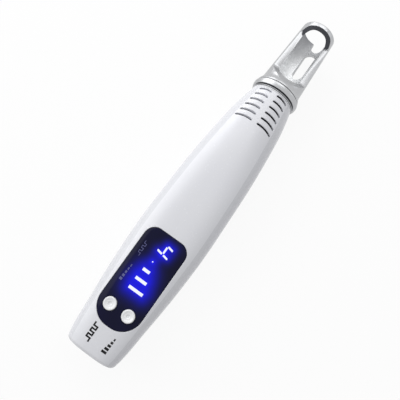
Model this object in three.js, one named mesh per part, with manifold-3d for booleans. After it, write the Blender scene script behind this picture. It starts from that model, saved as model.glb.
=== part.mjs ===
import * as THREE from 'three';
import { mergeVertices } from 'three/addons/utils/BufferGeometryUtils.js';
import Module from 'manifold-3d';

// A handheld laser pen, in millimetres.
// X runs along the pen from the tail to the tip, Z points to the display side, Y runs across.
// Heights in the sizes below are measured from the pen's long axis.

const wasm = await Module();
wasm.setup();

// Casing, whose length follows from what lies in a row inside it
const bodyHalfWidth = 19.15;
const bodyTop = 14.5;
const bellyDepth = 15.5;
const bellyFlatCut = 0.4;
const wall = 2;
const seamGap = 0.1;
const noseWall = 2;
const noseLipLength = 3.6;
const tailWall = 2.2;

// Gaps and overruns
const clearance = 0.3;
const overrun = 2;
const weld = 0.4;

// Display window
const windowStart = 16.1;
const windowLength = 51;
const windowWidth = 23.2;
const windowTipRadius = 5;
const windowTailRadius = 10.4;
const windowThickness = 1.6;
const windowSink = 0.12;
const ledgeWidth = 1.7;
const ledgeThickness = 1.3;

// Round buttons beside each other near the tail
const buttonInset = 8.9;
const buttonSpacing = 10.5;
const buttonRadius = 3.35;
const buttonProud = 1;
const buttonDish = 0.45;
const buttonFlangeRadius = 4.1;
const buttonFlangeHeight = 0.7;
const buttonPocketDepth = 0.2;
const buttonEdge = 0.35;
const buttonDishShare = 0.75;

// Firing button on the belly
const triggerRoom = 0.6;
const triggerLength = 17;
const triggerWidth = 9;
const triggerRecess = 0.4;
const triggerFlangeRim = 1.1;
const triggerFlangeHeight = 1;
const triggerCrown = 0.5;
const triggerGuideWall = 1.3;
const triggerGuideHeight = 3.9;
const triggerDishLength = 26;
const triggerDishWidth = 12;
const triggerDishDepth = 1.6;

// Tact switches
const switchSize = 6;
const switchHeight = 2;
const plungerRadius = 1.6;
const plungerHeight = 1.8;
const switchFloor = 0.4;
const plungerPlay = 0.2;
const buttonTravel = 0.4;
const triggerTravel = 0.7;

// Vents
const ventRows = 6;
const ventPitch = 3.9;
const ventTipRoom = 1.4;
const ventWidth = 1.1;
const ventInnerY = 1.6;
const ventTailY = 11.2;
const ventTipY = 8.6;

// Boards
const boardThickness = 1.6;
const mainBoardInset = 0.9;
const mainBoardReach = 8.9;
const mainBoardWidth = 21.6;
const boardGap = 4;
const driverBoardLength = 29;
const driverBoardRoom = 0.9;
const triggerBoardLength = 12;
const triggerBoardWidth = 23.4;
const triggerBoardThickness = 1.2;
const displayModuleGap = 2.4;
const displayModuleRim = 2.6;
const displayModuleWidth = 17;
const displayModuleHeight = 4.2;
const inductorRadius = 5.5;
const inductorBore = 2.6;
const inductorHeight = 5.5;
const inductorInset = 10.2;
const capacitorRadius = 4;
const capacitorLength = 10;
const capacitorGap = 0.7;
const capacitorGrooveShare = 0.12;
const capacitorWaistShare = 0.9;
const ribbonWidth = 6;
const ribbonThickness = 0.9;
const ribbonInset = 5;
const ribbonDrop = 5;

// Screws and the bosses that hold them
const screwHeadRadius = 2;
const screwHeadHeight = 1.4;
const screwShankRadius = 1;
const screwBite = 5;
const screwSocketRadius = 0.8;
const screwSocketDepth = 0.7;
const bossRadius = 2.6;
const postRadius = 2.1;
const tailScrewX = 7.4;
const waistScrewInset = 15;
const shellScrewInset = 5.5;
const counterboreTop = -5.5;
const boardScrewInset = 3.4;
const driverScrewInset = 2.7;
const driverScrewSpan = 14.4;
const triggerScrewInset = 2.4;

// Power inlet in the tail
const jackHeight = -0.8;
const jackBezelRadius = 4.4;
const jackBodyWidth = 8.8;
const jackBodyLength = 10;
const jackSocketRadius = 3.2;
const jackSocketDepth = 9.6;
const jackPinRadius = 1.05;
const jackPinInset = 1;
const jackProud = 0.4;
const jackEdge = 0.3;

// Ribs across the casing
const ribThickness = 1.2;
const jackRibOpening = 3.4;

// Cooling fan
const fanRoom = 2;
const fanSize = 17;
const fanThickness = 7;
const fanRim = 0.6;
const fanCorner = 2;
const fanHubRadius = 3.6;
const fanBackPlate = 1;
const fanSpokeWidth = 1.4;
const fanSpokes = 4;
const fanSpokeTurn = 45;
const fanShaftRadius = 0.7;
const fanShaftRoom = 0.25;
const rotorBlades = 7;
const rotorHubLength = 4.6;
const rotorBladeLength = 4;
const rotorBladeThickness = 0.7;
const rotorBladeTwist = 0.7;
const rotorTipGap = 0.5;
const leadSlotHeight = 5;

// Laser module
const barrelGap = 5.7;
const barrelLength = 23.2;
const barrelProud = 4.2;
const barrelWall = 1.4;
const beamBoreRoom = 0.4;
const diodeFlangeRadius = 4.5;
const diodeFlangeLength = 1.7;
const diodeSeatDepth = 2.8;
const diodeCapRadius = 3.1;
const diodeCapLength = 3.3;
const diodePinRadius = 0.4;
const diodePinLength = 2;
const diodePinSpacing = 2.6;
const lensRadius = 4.5;
const lensLength = 2.9;
const lensCrown = 0.9;
const lensCrownShares = [0.8, 0.5, 0];
const lensCellDepth = 6.4;
const retainerRim = 0.7;
const retainerBore = 3.6;
const retainerLength = 2.3;
const glassRim = 0.5;
const glassThickness = 1.2;

// Heat sink round the laser module
const sinkInset = 0.8;
const sinkHubWall = 1.5;
const sinkFinHeight = 2.1;
const sinkFins = 12;
const sinkFinThickness = 1;

// Metal nose
const gasketThickness = 0.5;
const gasketRadius = 12.3;
const collarTailRadius = 12.9;
const collarRadius = 13.9;
const collarRimLength = 3.5;
const collarLength = 4.2;
const collarEndRadius = 13.55;
const collarNeckWall = 0.9;
const collarFlangeRim = 0.65;
const collarFlangeLength = 2;

// Guard, open on the display side down to two flats, with a window and a notch on the other side
const guardSpigotWall = 1.3;
const guardSpigotLength = 7.7;
const guardLength = 45.1;
const guardFootRadius = 13.4;
const guardFootLength = 3.7;
const guardTailRadius = 11.9;
const guardTipRadius = 10.05;
const guardTipWall = 1.5;
const guardTipRound = 0.8;
const guardTipRoundShare = 0.3;
const guardLipRadius = 6.7;
const guardLipLength = 1.5;
const guardFlatHeight = 4.75;
const guardScoopInset = 3;
const guardScoopLength = 7.9;
const guardArchInset = 2.6;
const guardArchBevel = 1.8;
const guardArchLean = 0.34;
const guardMillTurn = 4;
const guardWindowWidth = 6.5;
const guardWindowInset = 18.7;
const guardWindowRim = 7.3;
const guardWindowTurn = 157;
const guardNotchWidth = 7;
const guardNotchDepth = 5.4;
const guardNotchTurn = 155;

// Leads
const leadRadius = 0.6;
const leadSteps = 4;
const leadReach = 4;
const jackLeadY = 1.9;
const laserLeadRoom = 3.1;
const laserLeadZ = 1.6;
const laserLeadTurnShare = 0.85;

// Facets
const bodySides = 28;
const cavitySides = 20;
const bigSides = 32;
const midSides = 20;
const smallSides = 8;
const arcSteps = 3;
const ventSteps = 2;
const guardArcSteps = 6;

// Along the casing: place, half width, top and belly as shares, then the exponents of the section
const bodyShares = [
  [0, 0.63, 0.6, 0.56, 3, 2.5],
  [0.005, 0.69, 0.66, 0.65, 3, 2.5],
  [0.014, 0.725, 0.695, 0.71, 3, 2.5],
  [0.05, 0.78, 0.735, 0.82, 3, 2.5],
  [0.14, 0.85, 0.8, 0.95, 3, 2.5],
  [0.2, 0.9, 0.848, 1, 3, 2.5],
  [0.28, 0.952, 0.905, 1, 3, 2.5],
  [0.42, 1, 0.973, 1, 3, 2.5],
  [0.56, 0.982, 1, 1, 2.9, 2.5],
  [0.7, 0.948, 0.99, 1, 2.6, 2.4],
  [0.8, 0.89, 0.978, 1, 2.35, 2.3]
];
// Over the nose: place, what is left of the swell over the nose's round in the same three sizes, exponents
const noseShares = [
  [0.9, 0.453, 0.65, 0.767, 2.15, 2.1],
  [0.96, 0.217, 0.435, 0.407, 2.05, 2.05],
  [1, 0, 0, 0, 2, 2]
];
const outerStationShares = [
  0, 0.004, 0.014, 0.035, 0.07, 0.12, 0.18, 0.25, 0.33, 0.42, 0.51, 0.6, 0.69, 0.77, 0.84, 0.9, 0.95, 0.98, 1
];
const cavityMiddleShares = [0.05, 0.12, 0.2, 0.3, 0.42, 0.56, 0.7, 0.8, 0.88, 0.94];

// From the tail to the tip, where each piece inside the casing starts and ends
const windowEnd = windowStart + windowLength;
const buttonX = windowStart + buttonInset;
const displayModuleStart = buttonX + buttonFlangeRadius + displayModuleGap;
const displayModuleEnd = windowEnd - displayModuleRim;
const mainBoardStart = windowStart + mainBoardInset;
const mainBoardEnd = windowEnd + mainBoardReach;
const driverBoardStart = mainBoardEnd + boardGap;
const driverBoardEnd = driverBoardStart + driverBoardLength;
const waistScrewX = driverBoardStart + waistScrewInset;
const inductorX = driverBoardStart + inductorInset;
const capacitorX = inductorX + inductorRadius + capacitorGap;
const triggerX = capacitorX + capacitorLength + triggerRoom + triggerBoardLength / 2;
const fanX = triggerX + triggerDishLength / 2 + fanRoom;
const fanEnd = fanX + fanThickness;
const barrelStart = fanEnd + barrelGap;
const barrelEndX = barrelStart + barrelLength;
const bodyLength = barrelEndX - barrelProud;

// The nose and what stands out of it
const noseLipX = bodyLength - noseLipLength;
const ventFirstX = bodyLength - ventTipRoom - (ventRows - 1) * ventPitch;
const collarFlangeX = noseLipX - clearance - collarFlangeLength;
const collarStartX = bodyLength + clearance + gasketThickness + clearance;
const collarEndX = collarStartX + collarLength;
const sinkStart = barrelStart + sinkInset;
const sinkEnd = collarFlangeX - clearance;
const guardStartX = collarEndX + clearance;
const guardEndX = guardStartX + guardLength;
const collarCounterboreX = guardStartX - guardSpigotLength - clearance;
const guardWindowLength = guardLength - guardWindowInset - guardWindowRim;
const guardWindowX = guardStartX + guardWindowInset + guardWindowLength / 2;
const guardScoopStart = guardStartX + guardScoopInset;
const guardScoopEnd = guardScoopStart + guardScoopLength;

// Radii round the beam, from the lens out to the nose
const beamBoreRadius = diodeCapRadius + beamBoreRoom;
const retainerRadius = lensRadius + retainerRim;
const barrelRadius = retainerRadius + clearance + barrelWall;
const sinkHubRadius = barrelRadius + clearance + sinkHubWall;
const sinkFinRadius = sinkHubRadius + sinkFinHeight;
const glassRadius = barrelRadius + glassRim;
const guardSpigotRadius = glassRadius + clearance + guardSpigotWall;
const collarNeckRadius = guardSpigotRadius + clearance + collarNeckWall;
const collarFlangeRadius = collarNeckRadius + collarFlangeRim;
const noseBoreRadius = collarNeckRadius + clearance;
const noseRadius = noseBoreRadius + noseWall;
const guardBoreRadius = guardTipRadius - guardTipWall;

const bodySections = bodyShares.map(([place, width, top, belly, ...powers]) => [
  place, width * bodyHalfWidth, top * bodyTop, belly * bellyDepth, ...powers
]);
const noseSections = noseShares.map(([place, width, top, belly, ...powers]) => [
  place,
  THREE.MathUtils.lerp(noseRadius, bodyHalfWidth, width),
  THREE.MathUtils.lerp(noseRadius, bodyTop, top),
  THREE.MathUtils.lerp(noseRadius, bellyDepth, belly),
  ...powers
]);
const sections = [...bodySections, ...noseSections];
const sectionPlaces = sections.map((row) => row[0]);
const sectionSizes = sections.flatMap((row) => row.slice(1));
const sectionAt = new THREE.CubicInterpolant(sectionPlaces, sectionSizes, sections[0].length - 1);
const cavityStationShares = [tailWall / bodyLength, ...cavityMiddleShares, noseLipX / bodyLength];

// Heights of the firing button and its switch, from the belly up
const bellyPlane = bellyFlatCut - bellyDepth;
const triggerFace = bellyPlane + triggerRecess;
const triggerGuideTop = bellyPlane + triggerGuideHeight;
const triggerFlangeLow = triggerGuideTop + clearance;
const triggerFlangeTop = triggerFlangeLow + triggerFlangeHeight;
const triggerPlungerLow = triggerFlangeTop + clearance;
const triggerPlungerTop = triggerPlungerLow + plungerHeight;
const triggerSwitchTop = triggerPlungerTop + triggerTravel + plungerPlay + switchFloor;
const triggerSwitchLow = triggerSwitchTop - switchHeight;
const triggerBoardLow = triggerSwitchTop + clearance;

// Half width, top height, belly depth and the two exponents of the section at x, drawn in by inset
function section(x, inset = 0) {
  const share = THREE.MathUtils.clamp(x / bodyLength, 0, 1);
  const [halfWidth, top, belly, topPower, bellyPower] = sectionAt.evaluate(share);
  return { halfWidth: halfWidth - inset, top: top - inset, belly: belly - inset, topPower, bellyPower };
}

// Height of the display side over a place, drawn in by inset
function topHeight(x, y, inset = 0) {
  const { halfWidth, top, topPower } = section(x, inset);
  return top * (1 - Math.abs(y / halfWidth) ** topPower) ** (1 / topPower);
}

// Height of the belly side over a place, drawn in by inset
function bellyHeight(x, y, inset = 0) {
  const { halfWidth, belly, bellyPower } = section(x, inset);
  return -belly * (1 - Math.abs(y / halfWidth) ** bellyPower) ** (1 / bellyPower);
}

// One ring of the casing's section
function sectionRing(x, inset, sides) {
  const { halfWidth, top, belly, topPower, bellyPower } = section(x, inset);
  const ring = [];
  for (let i = 0; i < sides; i++) {
    const angle = (i / sides) * 2 * Math.PI;
    const across = Math.cos(angle);
    const up = Math.sin(angle);
    const power = 2 / (up < 0 ? bellyPower : topPower);
    const height = up < 0 ? belly : top;
    const y = halfWidth * Math.sign(across) * Math.abs(across) ** power;
    const z = height * Math.sign(up) * Math.abs(up) ** power;
    ring.push(new THREE.Vector3(x, y, z));
  }
  return ring;
}

// A closed skin through rings of equally many points, with a fan over each end
function loft(rings) {
  const sides = rings[0].length;
  const points = rings.flat();
  const triangles = [];
  for (let r = 0; r + 1 < rings.length; r++) {
    for (let i = 0; i < sides; i++) {
      const a = r * sides + i;
      const b = r * sides + ((i + 1) % sides);
      triangles.push(a, b, b + sides, a, b + sides, a + sides);
    }
  }
  const ends = [[rings[0], 0, false], [rings.at(-1), (rings.length - 1) * sides, true]];
  for (const [ring, first, last] of ends) {
    const centre = ring.reduce((sum, point) => sum.add(point), new THREE.Vector3()).divideScalar(sides);
    const hub = points.push(centre) - 1;
    for (let i = 0; i < sides; i++) {
      const a = first + i;
      const b = first + ((i + 1) % sides);
      triangles.push(...(last ? [a, b, hub] : [b, a, hub]));
    }
  }
  const geometry = new THREE.BufferGeometry().setFromPoints(points);
  geometry.setIndex(triangles);
  return geometry;
}

// Closed geometry to solid: shared vertices, no flat triangles, faces out
function solid(geometry) {
  const bare = geometry.clone();
  bare.deleteAttribute('normal');
  bare.deleteAttribute('uv');
  const merged = mergeVertices(bare);
  const place = merged.getAttribute('position');
  const index = merged.index.array;
  const corners = [];
  let volume = 0;
  const [a, b, c] = [new THREE.Vector3(), new THREE.Vector3(), new THREE.Vector3()];
  for (let i = 0; i < index.length; i += 3) {
    const [p, q, r] = index.slice(i, i + 3);
    if (p !== q && q !== r && r !== p) {
      corners.push(p, q, r);
      a.fromBufferAttribute(place, p);
      b.fromBufferAttribute(place, q);
      c.fromBufferAttribute(place, r);
      volume += a.dot(b.cross(c));
    }
  }
  const triVerts = new Uint32Array(volume < 0 ? corners.reverse() : corners);
  const vertProperties = new Float32Array(place.array);
  return new wasm.Manifold(new wasm.Mesh({ numProp: 3, vertProperties, triVerts }));
}

function join(first, ...others) {
  return others.reduce((whole, other) => whole.add(other), first);
}

function cut(first, ...others) {
  return others.reduce((rest, other) => rest.subtract(other), first);
}

// Solid of the casing's outline, drawn in by inset
function casingSolid(stationShares, inset, sides) {
  return solid(loft(stationShares.map((share) => sectionRing(share * bodyLength, inset, sides))));
}

function box(lowX, highX, lowY, highY, lowZ, highZ) {
  const geometry = new THREE.BoxGeometry(highX - lowX, highY - lowY, highZ - lowZ);
  geometry.translate((lowX + highX) / 2, (lowY + highY) / 2, (lowZ + highZ) / 2);
  return solid(geometry);
}

// A turned solid on the X axis from [x, radius] points
function turned(points, sides = midSides) {
  const outline = points.map(([x, radius]) => new THREE.Vector2(radius, x));
  const geometry = new THREE.LatheGeometry(outline, sides);
  return solid(geometry.rotateZ(-Math.PI / 2));
}

// A turned ring on the X axis, whose outline closes on itself
function turnedRing(points, sides = midSides) {
  return turned([...points, points[0]], sides);
}

// A turned solid on a vertical axis at x, y from [z, radius] points
function turnedUp(x, y, points, sides = smallSides) {
  const outline = points.map(([z, radius]) => new THREE.Vector2(radius, z));
  const geometry = new THREE.LatheGeometry(outline, sides);
  return solid(geometry.rotateX(Math.PI / 2).translate(x, y, 0));
}

function rod(x, y, lowZ, highZ, radius, sides = smallSides) {
  return turnedUp(x, y, [[lowZ, 0], [lowZ, radius], [highZ, radius], [highZ, 0]], sides);
}

function rodAlong(lowX, highX, radius, sides = midSides) {
  return turned([[lowX, 0], [lowX, radius], [highX, radius], [highX, 0]], sides);
}

// A flat outline in X and Y, raised from lowZ to highZ
function prism(shape, lowZ, highZ, steps = arcSteps) {
  const geometry = new THREE.ExtrudeGeometry(shape, {
    depth: highZ - lowZ,
    bevelEnabled: false,
    curveSegments: steps
  });
  return solid(geometry.translate(0, 0, lowZ));
}

// A slot with round ends along X or, when it is wider than long, along Y
function slotShape(x, y, length, width) {
  const shape = new THREE.Shape();
  const radius = Math.min(length, width) / 2;
  const reach = (Math.max(length, width)) / 2 - radius;
  if (length >= width) {
    shape.absarc(x + reach, y, radius, -Math.PI / 2, Math.PI / 2, false);
    shape.absarc(x - reach, y, radius, Math.PI / 2, 1.5 * Math.PI, false);
  } else {
    shape.absarc(x, y + reach, radius, 0, Math.PI, false);
    shape.absarc(x, y - reach, radius, Math.PI, 2 * Math.PI, false);
  }
  return shape;
}

// The window's outline in X and Y, grown by rim
function windowShape(rim) {
  const low = windowStart - rim;
  const high = windowEnd + rim;
  const side = windowWidth / 2 + rim;
  const tail = windowTailRadius + rim;
  const tip = windowTipRadius + rim;
  const shape = new THREE.Shape();
  shape.absarc(low + tail, -side + tail, tail, Math.PI, 1.5 * Math.PI, false);
  shape.absarc(high - tip, -side + tip, tip, -Math.PI / 2, 0, false);
  shape.absarc(high - tip, side - tip, tip, 0, Math.PI / 2, false);
  shape.absarc(low + tail, side - tail, tail, Math.PI / 2, Math.PI, false);
  return shape;
}

function buttonPlace(side) {
  return side * buttonSpacing / 2;
}

// Height of the window's underside over a button, where the button's flange stops
function windowUnderside() {
  const outerEdge = buttonPlace(1) + buttonFlangeRadius;
  return topHeight(buttonX - buttonFlangeRadius, outerEdge, windowSink + windowThickness);
}

// Heights of a round button, its switch and the boards, from the window down
const buttonTop = topHeight(buttonX, buttonPlace(1), windowSink) + buttonProud;
const buttonFlangeTop = windowUnderside() - clearance;
const buttonFlangeLow = buttonFlangeTop - buttonFlangeHeight;
const buttonPocketTop = buttonFlangeLow + buttonPocketDepth;
const topPlungerTop = buttonPocketTop - clearance;
const topPlungerLow = topPlungerTop - plungerHeight;
const topSwitchLow = topPlungerLow - buttonTravel - plungerPlay - switchFloor;
const topSwitchTop = topSwitchLow + switchHeight;
const boardTop = topSwitchLow - clearance;
const boardBottom = boardTop - boardThickness;

// Places across, from the casing's side in
const tailScrewY = section(tailScrewX).halfWidth - shellScrewInset;
const waistScrewY = section(waistScrewX).halfWidth - shellScrewInset;
const driverBoardWidth = 2 * (waistScrewY - bossRadius - clearance - driverBoardRoom);
const driverScrewY = driverBoardWidth / 2 - driverScrewInset;
const boardScrewX = mainBoardEnd - boardScrewInset;
const boardScrewY = mainBoardWidth / 2 - boardScrewInset;
const triggerPostY = triggerBoardWidth / 2 - triggerScrewInset;
const fanBoreRadius = fanSize / 2 - fanRim;
const laserLeadY = fanSize / 2 + laserLeadRoom;

// Slots through the casing over the heat sink, one at each side of the middle in each row
function ventCutters(lowZ, highZ) {
  const cutters = [];
  for (let row = 0; row < ventRows; row++) {
    const x = ventFirstX + row * ventPitch;
    const outerY = THREE.MathUtils.lerp(ventTailY, ventTipY, row / (ventRows - 1));
    for (const side of [-1, 1]) {
      const shape = slotShape(x, side * (ventInnerY + outerY) / 2, ventWidth, outerY - ventInnerY);
      cutters.push(prism(shape, lowZ, highZ, ventSteps));
    }
  }
  return cutters;
}

// Wall across the casing that locates a piece, with a round opening and a slot for leads
function crossRib(x, opening, height, slotHalfWidth) {
  const slab = box(x, x + ribThickness, -bodyHalfWidth, bodyHalfWidth, -bellyDepth, bodyTop);
  const low = x - overrun;
  const high = x + ribThickness + overrun;
  const leadSlot = box(low, high, -slotHalfWidth, slotHalfWidth, -leadSlotHeight / 2, leadSlotHeight / 2);
  const hole = rodAlong(low, high, opening).translate([0, 0, height]);
  return cut(slab, hole, leadSlot);
}

const outerCasing = casingSolid(outerStationShares, 0, bodySides);
const cavity = casingSolid(cavityStationShares, wall, cavitySides);

// The walls that both halves share, before they're parted
function wholeCasing() {
  const noseBore = rodAlong(noseLipX - overrun, bodyLength + overrun, noseBoreRadius, bigSides);
  const jackHole = rodAlong(-overrun, tailWall + overrun, jackBezelRadius + clearance);
  const skin = cut(outerCasing, cavity);
  const jackRibX = tailWall + clearance + jackBodyLength + clearance;
  const jackRib = crossRib(jackRibX, jackRibOpening, jackHeight, jackRibOpening / 2);
  const fanOpening = fanBoreRadius - clearance;
  const fanRibs = [fanX - clearance - ribThickness, fanEnd + clearance].map(
    (x) => crossRib(x, fanOpening, 0, bodyHalfWidth)
  );
  const ribRoom = casingSolid(cavityStationShares, wall - weld, cavitySides);
  const ribs = join(jackRib, ...fanRibs).intersect(ribRoom);
  return cut(join(skin, ribs), noseBore, jackHole.translate([0, 0, jackHeight]));
}

const casing = wholeCasing();

// Post that hangs from the display side's wall down to lowZ
function hangingBoss(x, y, lowZ, radius, holeDepth) {
  const top = topHeight(x, Math.abs(y) + radius / 2, wall - weld);
  const hole = rod(x, y, lowZ - overrun, lowZ + holeDepth, screwShankRadius + clearance);
  return cut(rod(x, y, lowZ, top, radius), hole);
}

// Post that stands on the belly's wall up to highZ
function standingBoss(x, y, highZ, radius) {
  return rod(x, y, bellyHeight(x, Math.abs(y) + radius / 2, wall - weld), highZ, radius);
}

const shellScrewPlaces = [
  [tailScrewX, -tailScrewY],
  [tailScrewX, tailScrewY],
  [waistScrewX, -waistScrewY],
  [waistScrewX, waistScrewY]
];
const boardScrewPlaces = [[boardScrewX, -boardScrewY], [boardScrewX, boardScrewY]];
const driverScrewX = driverBoardStart + driverScrewInset;
const driverScrewPlaces = [[driverScrewX, -driverScrewY], [driverScrewX + driverScrewSpan, driverScrewY]];
const triggerScrewPlaces = [[triggerX, -triggerPostY], [triggerX, triggerPostY]];

function frontShell() {
  const endX = bodyLength + overrun;
  const half = box(-overrun, endX, -bodyHalfWidth, bodyHalfWidth, seamGap / 2, bodyTop + overrun);
  const ledgeDepth = windowSink + windowThickness + clearance;
  const ledgeTop = casingSolid(cavityStationShares, ledgeDepth, bodySides);
  const ledgeBottom = casingSolid(cavityStationShares, ledgeDepth + ledgeThickness, bodySides);
  const ledgeRing = cut(
    prism(windowShape(ledgeWidth), 0, bodyTop), prism(windowShape(-ledgeWidth), -overrun, bodyTop + overrun)
  );
  const ledge = cut(ledgeRing.intersect(ledgeTop), ledgeBottom);
  const aperture = cut(prism(windowShape(clearance), boardTop, bodyTop + overrun), ledgeTop);
  const opening = prism(windowShape(-ledgeWidth), boardTop, bodyTop + overrun);
  const shellBosses = shellScrewPlaces.map(([x, y]) => hangingBoss(x, y, seamGap / 2, bossRadius, screwBite));
  const boardBosses = [...boardScrewPlaces, ...driverScrewPlaces].map(
    ([x, y]) => hangingBoss(x, y, boardTop + clearance, postRadius, screwBite - boardThickness)
  );
  const body = join(casing.intersect(half), ledge, ...shellBosses, ...boardBosses);
  return cut(body, aperture, opening, ...ventCutters(0, bodyTop + overrun));
}

function backShell() {
  const endX = bodyLength + overrun;
  const half = box(-overrun, endX, -bodyHalfWidth, bodyHalfWidth, bellyPlane, -seamGap / 2);
  const bosses = shellScrewPlaces.map(([x, y]) => standingBoss(x, y, -seamGap, bossRadius + clearance));
  const screwWays = shellScrewPlaces.flatMap(([x, y]) => [
    rod(x, y, -bellyDepth - overrun, counterboreTop, screwHeadRadius + clearance),
    rod(x, y, counterboreTop - overrun, overrun, screwShankRadius + clearance)
  ]);
  const guideRim = 2 * (clearance + triggerGuideWall);
  const guideShape = slotShape(triggerX, 0, triggerLength + guideRim, triggerWidth + guideRim);
  const guide = prism(guideShape, bellyPlane + weld, triggerGuideTop);
  const hole = prism(
    slotShape(triggerX, 0, triggerLength + 2 * clearance, triggerWidth + 2 * clearance),
    -bellyDepth - overrun, triggerGuideTop + overrun
  );
  const dish = new THREE.SphereGeometry(1, midSides, smallSides);
  dish.scale(triggerDishLength / 2, triggerDishWidth / 2, triggerDishDepth);
  dish.translate(triggerX, 0, bellyPlane);
  const triggerPosts = triggerScrewPlaces.map(([x, y]) => cut(
    standingBoss(x, y, triggerBoardLow - clearance, postRadius),
    rod(x, y, triggerBoardLow - screwBite, triggerBoardLow, screwShankRadius + clearance)
  ));
  const body = join(casing.intersect(half), guide, ...bosses, ...triggerPosts);
  return cut(body, ...screwWays, hole, solid(dish), ...ventCutters(-bellyDepth - overrun, 0));
}

function displayWindow() {
  const top = casingSolid(cavityStationShares, windowSink, bodySides);
  const underside = casingSolid(cavityStationShares, windowSink + windowThickness, bodySides);
  const plate = cut(prism(windowShape(0), boardTop, bodyTop).intersect(top), underside);
  const holes = [-1, 1].map(
    (side) => rod(buttonX, buttonPlace(side), 0, bodyTop, buttonRadius + clearance, midSides)
  );
  return cut(plate, ...holes);
}

// Dished button over its flange, with a shallow pocket underneath for the plunger
function roundButton(side) {
  const pocketRadius = plungerRadius + clearance;
  return turnedUp(buttonX, buttonPlace(side), [
    [buttonPocketTop, 0],
    [buttonPocketTop, pocketRadius],
    [buttonFlangeLow, pocketRadius],
    [buttonFlangeLow, buttonFlangeRadius],
    [buttonFlangeTop, buttonFlangeRadius],
    [buttonFlangeTop, buttonRadius],
    [buttonTop - buttonEdge, buttonRadius],
    [buttonTop, buttonRadius - buttonEdge],
    [buttonTop, buttonRadius - 2 * buttonEdge],
    [buttonTop - buttonDishShare * buttonDish, buttonRadius / 2],
    [buttonTop - buttonDish, 0]
  ], midSides);
}

// Switch body on a board, open at openZ, where its plunger comes out
function switchBody(x, y, lowZ, highZ, openZ) {
  const half = switchSize / 2;
  const low = openZ === highZ ? lowZ + switchFloor : lowZ - overrun;
  const high = openZ === highZ ? highZ + overrun : highZ - switchFloor;
  return cut(
    box(x - half, x + half, y - half, y + half, lowZ, highZ),
    rod(x, y, low, high, plungerRadius + clearance)
  );
}

function triggerButton() {
  const crownTop = triggerFace + triggerCrown;
  const stem = prism(slotShape(triggerX, 0, triggerLength, triggerWidth), crownTop, triggerFlangeLow);
  const rim = 2 * triggerFlangeRim;
  const flange = prism(
    slotShape(triggerX, 0, triggerLength + rim, triggerWidth + rim), triggerFlangeLow, triggerFlangeTop
  );
  const faceShape = slotShape(triggerX, 0, triggerLength - rim, triggerWidth - rim);
  const face = prism(faceShape, triggerFace, crownTop);
  return join(stem, flange, face);
}

// Pan-head screw whose head lies at headZ and whose point looks along direction, up or down
function screw(x, y, headZ, direction, length) {
  const points = [
    [0, 0],
    [0, screwShankRadius],
    [length, screwShankRadius],
    [length, screwHeadRadius],
    [length + screwHeadHeight, screwHeadRadius],
    [length + screwHeadHeight, screwSocketRadius],
    [length + screwHeadHeight - screwSocketDepth, 0]
  ].map(([along, radius]) => [headZ + direction * (length - along), radius]);
  return turnedUp(x, y, points, smallSides);
}

function dcJack() {
  const half = jackBodyWidth / 2;
  const bodyLow = tailWall + clearance;
  const bezel = turned([
    [-jackProud, 0],
    [-jackProud, jackBezelRadius - jackEdge],
    [-jackProud + jackEdge, jackBezelRadius],
    [bodyLow + weld, jackBezelRadius],
    [bodyLow + weld, 0]
  ]);
  const socket = rodAlong(-jackProud - overrun, jackSocketDepth, jackSocketRadius);
  const pin = rodAlong(jackPinInset, jackSocketDepth + weld, jackPinRadius, smallSides);
  const housing = box(bodyLow, bodyLow + jackBodyLength, -half, half, -half, half);
  return join(cut(join(bezel, housing), socket), pin).translate([0, 0, jackHeight]);
}

function board(lowX, highX, width, lowZ, thickness, screwPlaces) {
  const plate = box(lowX, highX, -width / 2, width / 2, lowZ, lowZ + thickness);
  const holes = screwPlaces.map(
    ([x, y]) => rod(x, y, lowZ - overrun, lowZ + thickness + overrun, screwShankRadius + clearance)
  );
  return cut(plate, ...holes);
}

function inductor() {
  const top = boardBottom - clearance;
  const low = top - inductorHeight;
  const ring = [[low, inductorBore], [low, inductorRadius], [top, inductorRadius], [top, inductorBore]];
  return turnedUp(inductorX, 0, [...ring, ring[0]], 2 * smallSides);
}

function capacitor() {
  const groove = capacitorLength * capacitorGrooveShare;
  return turned([
    [capacitorX, 0],
    [capacitorX, capacitorRadius],
    [capacitorX + groove, capacitorRadius],
    [capacitorX + groove + groove / 2, capacitorRadius * capacitorWaistShare],
    [capacitorX + 2 * groove, capacitorRadius],
    [capacitorX + capacitorLength, capacitorRadius],
    [capacitorX + capacitorLength, 0]
  ], smallSides).translate([0, 0, boardBottom - clearance - capacitorRadius]);
}

// Flat ribbon that hangs in a bow between the two boards
function linkRibbon() {
  const low = mainBoardEnd - ribbonInset;
  const high = driverBoardStart + ribbonInset / 2;
  const top = boardBottom - clearance;
  const path = new THREE.CubicBezierCurve3(
    new THREE.Vector3(low, 0, top),
    new THREE.Vector3(low, 0, top - ribbonDrop),
    new THREE.Vector3(high, 0, top - ribbonDrop),
    new THREE.Vector3(high, 0, top)
  );
  const [side, face] = [ribbonWidth / 2, ribbonThickness / 2];
  const shape = new THREE.Shape([
    new THREE.Vector2(-side, -face),
    new THREE.Vector2(side, -face),
    new THREE.Vector2(side, face),
    new THREE.Vector2(-side, face)
  ]);
  const options = { steps: smallSides, bevelEnabled: false, extrudePath: path };
  return solid(new THREE.ExtrudeGeometry(shape, options));
}

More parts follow.
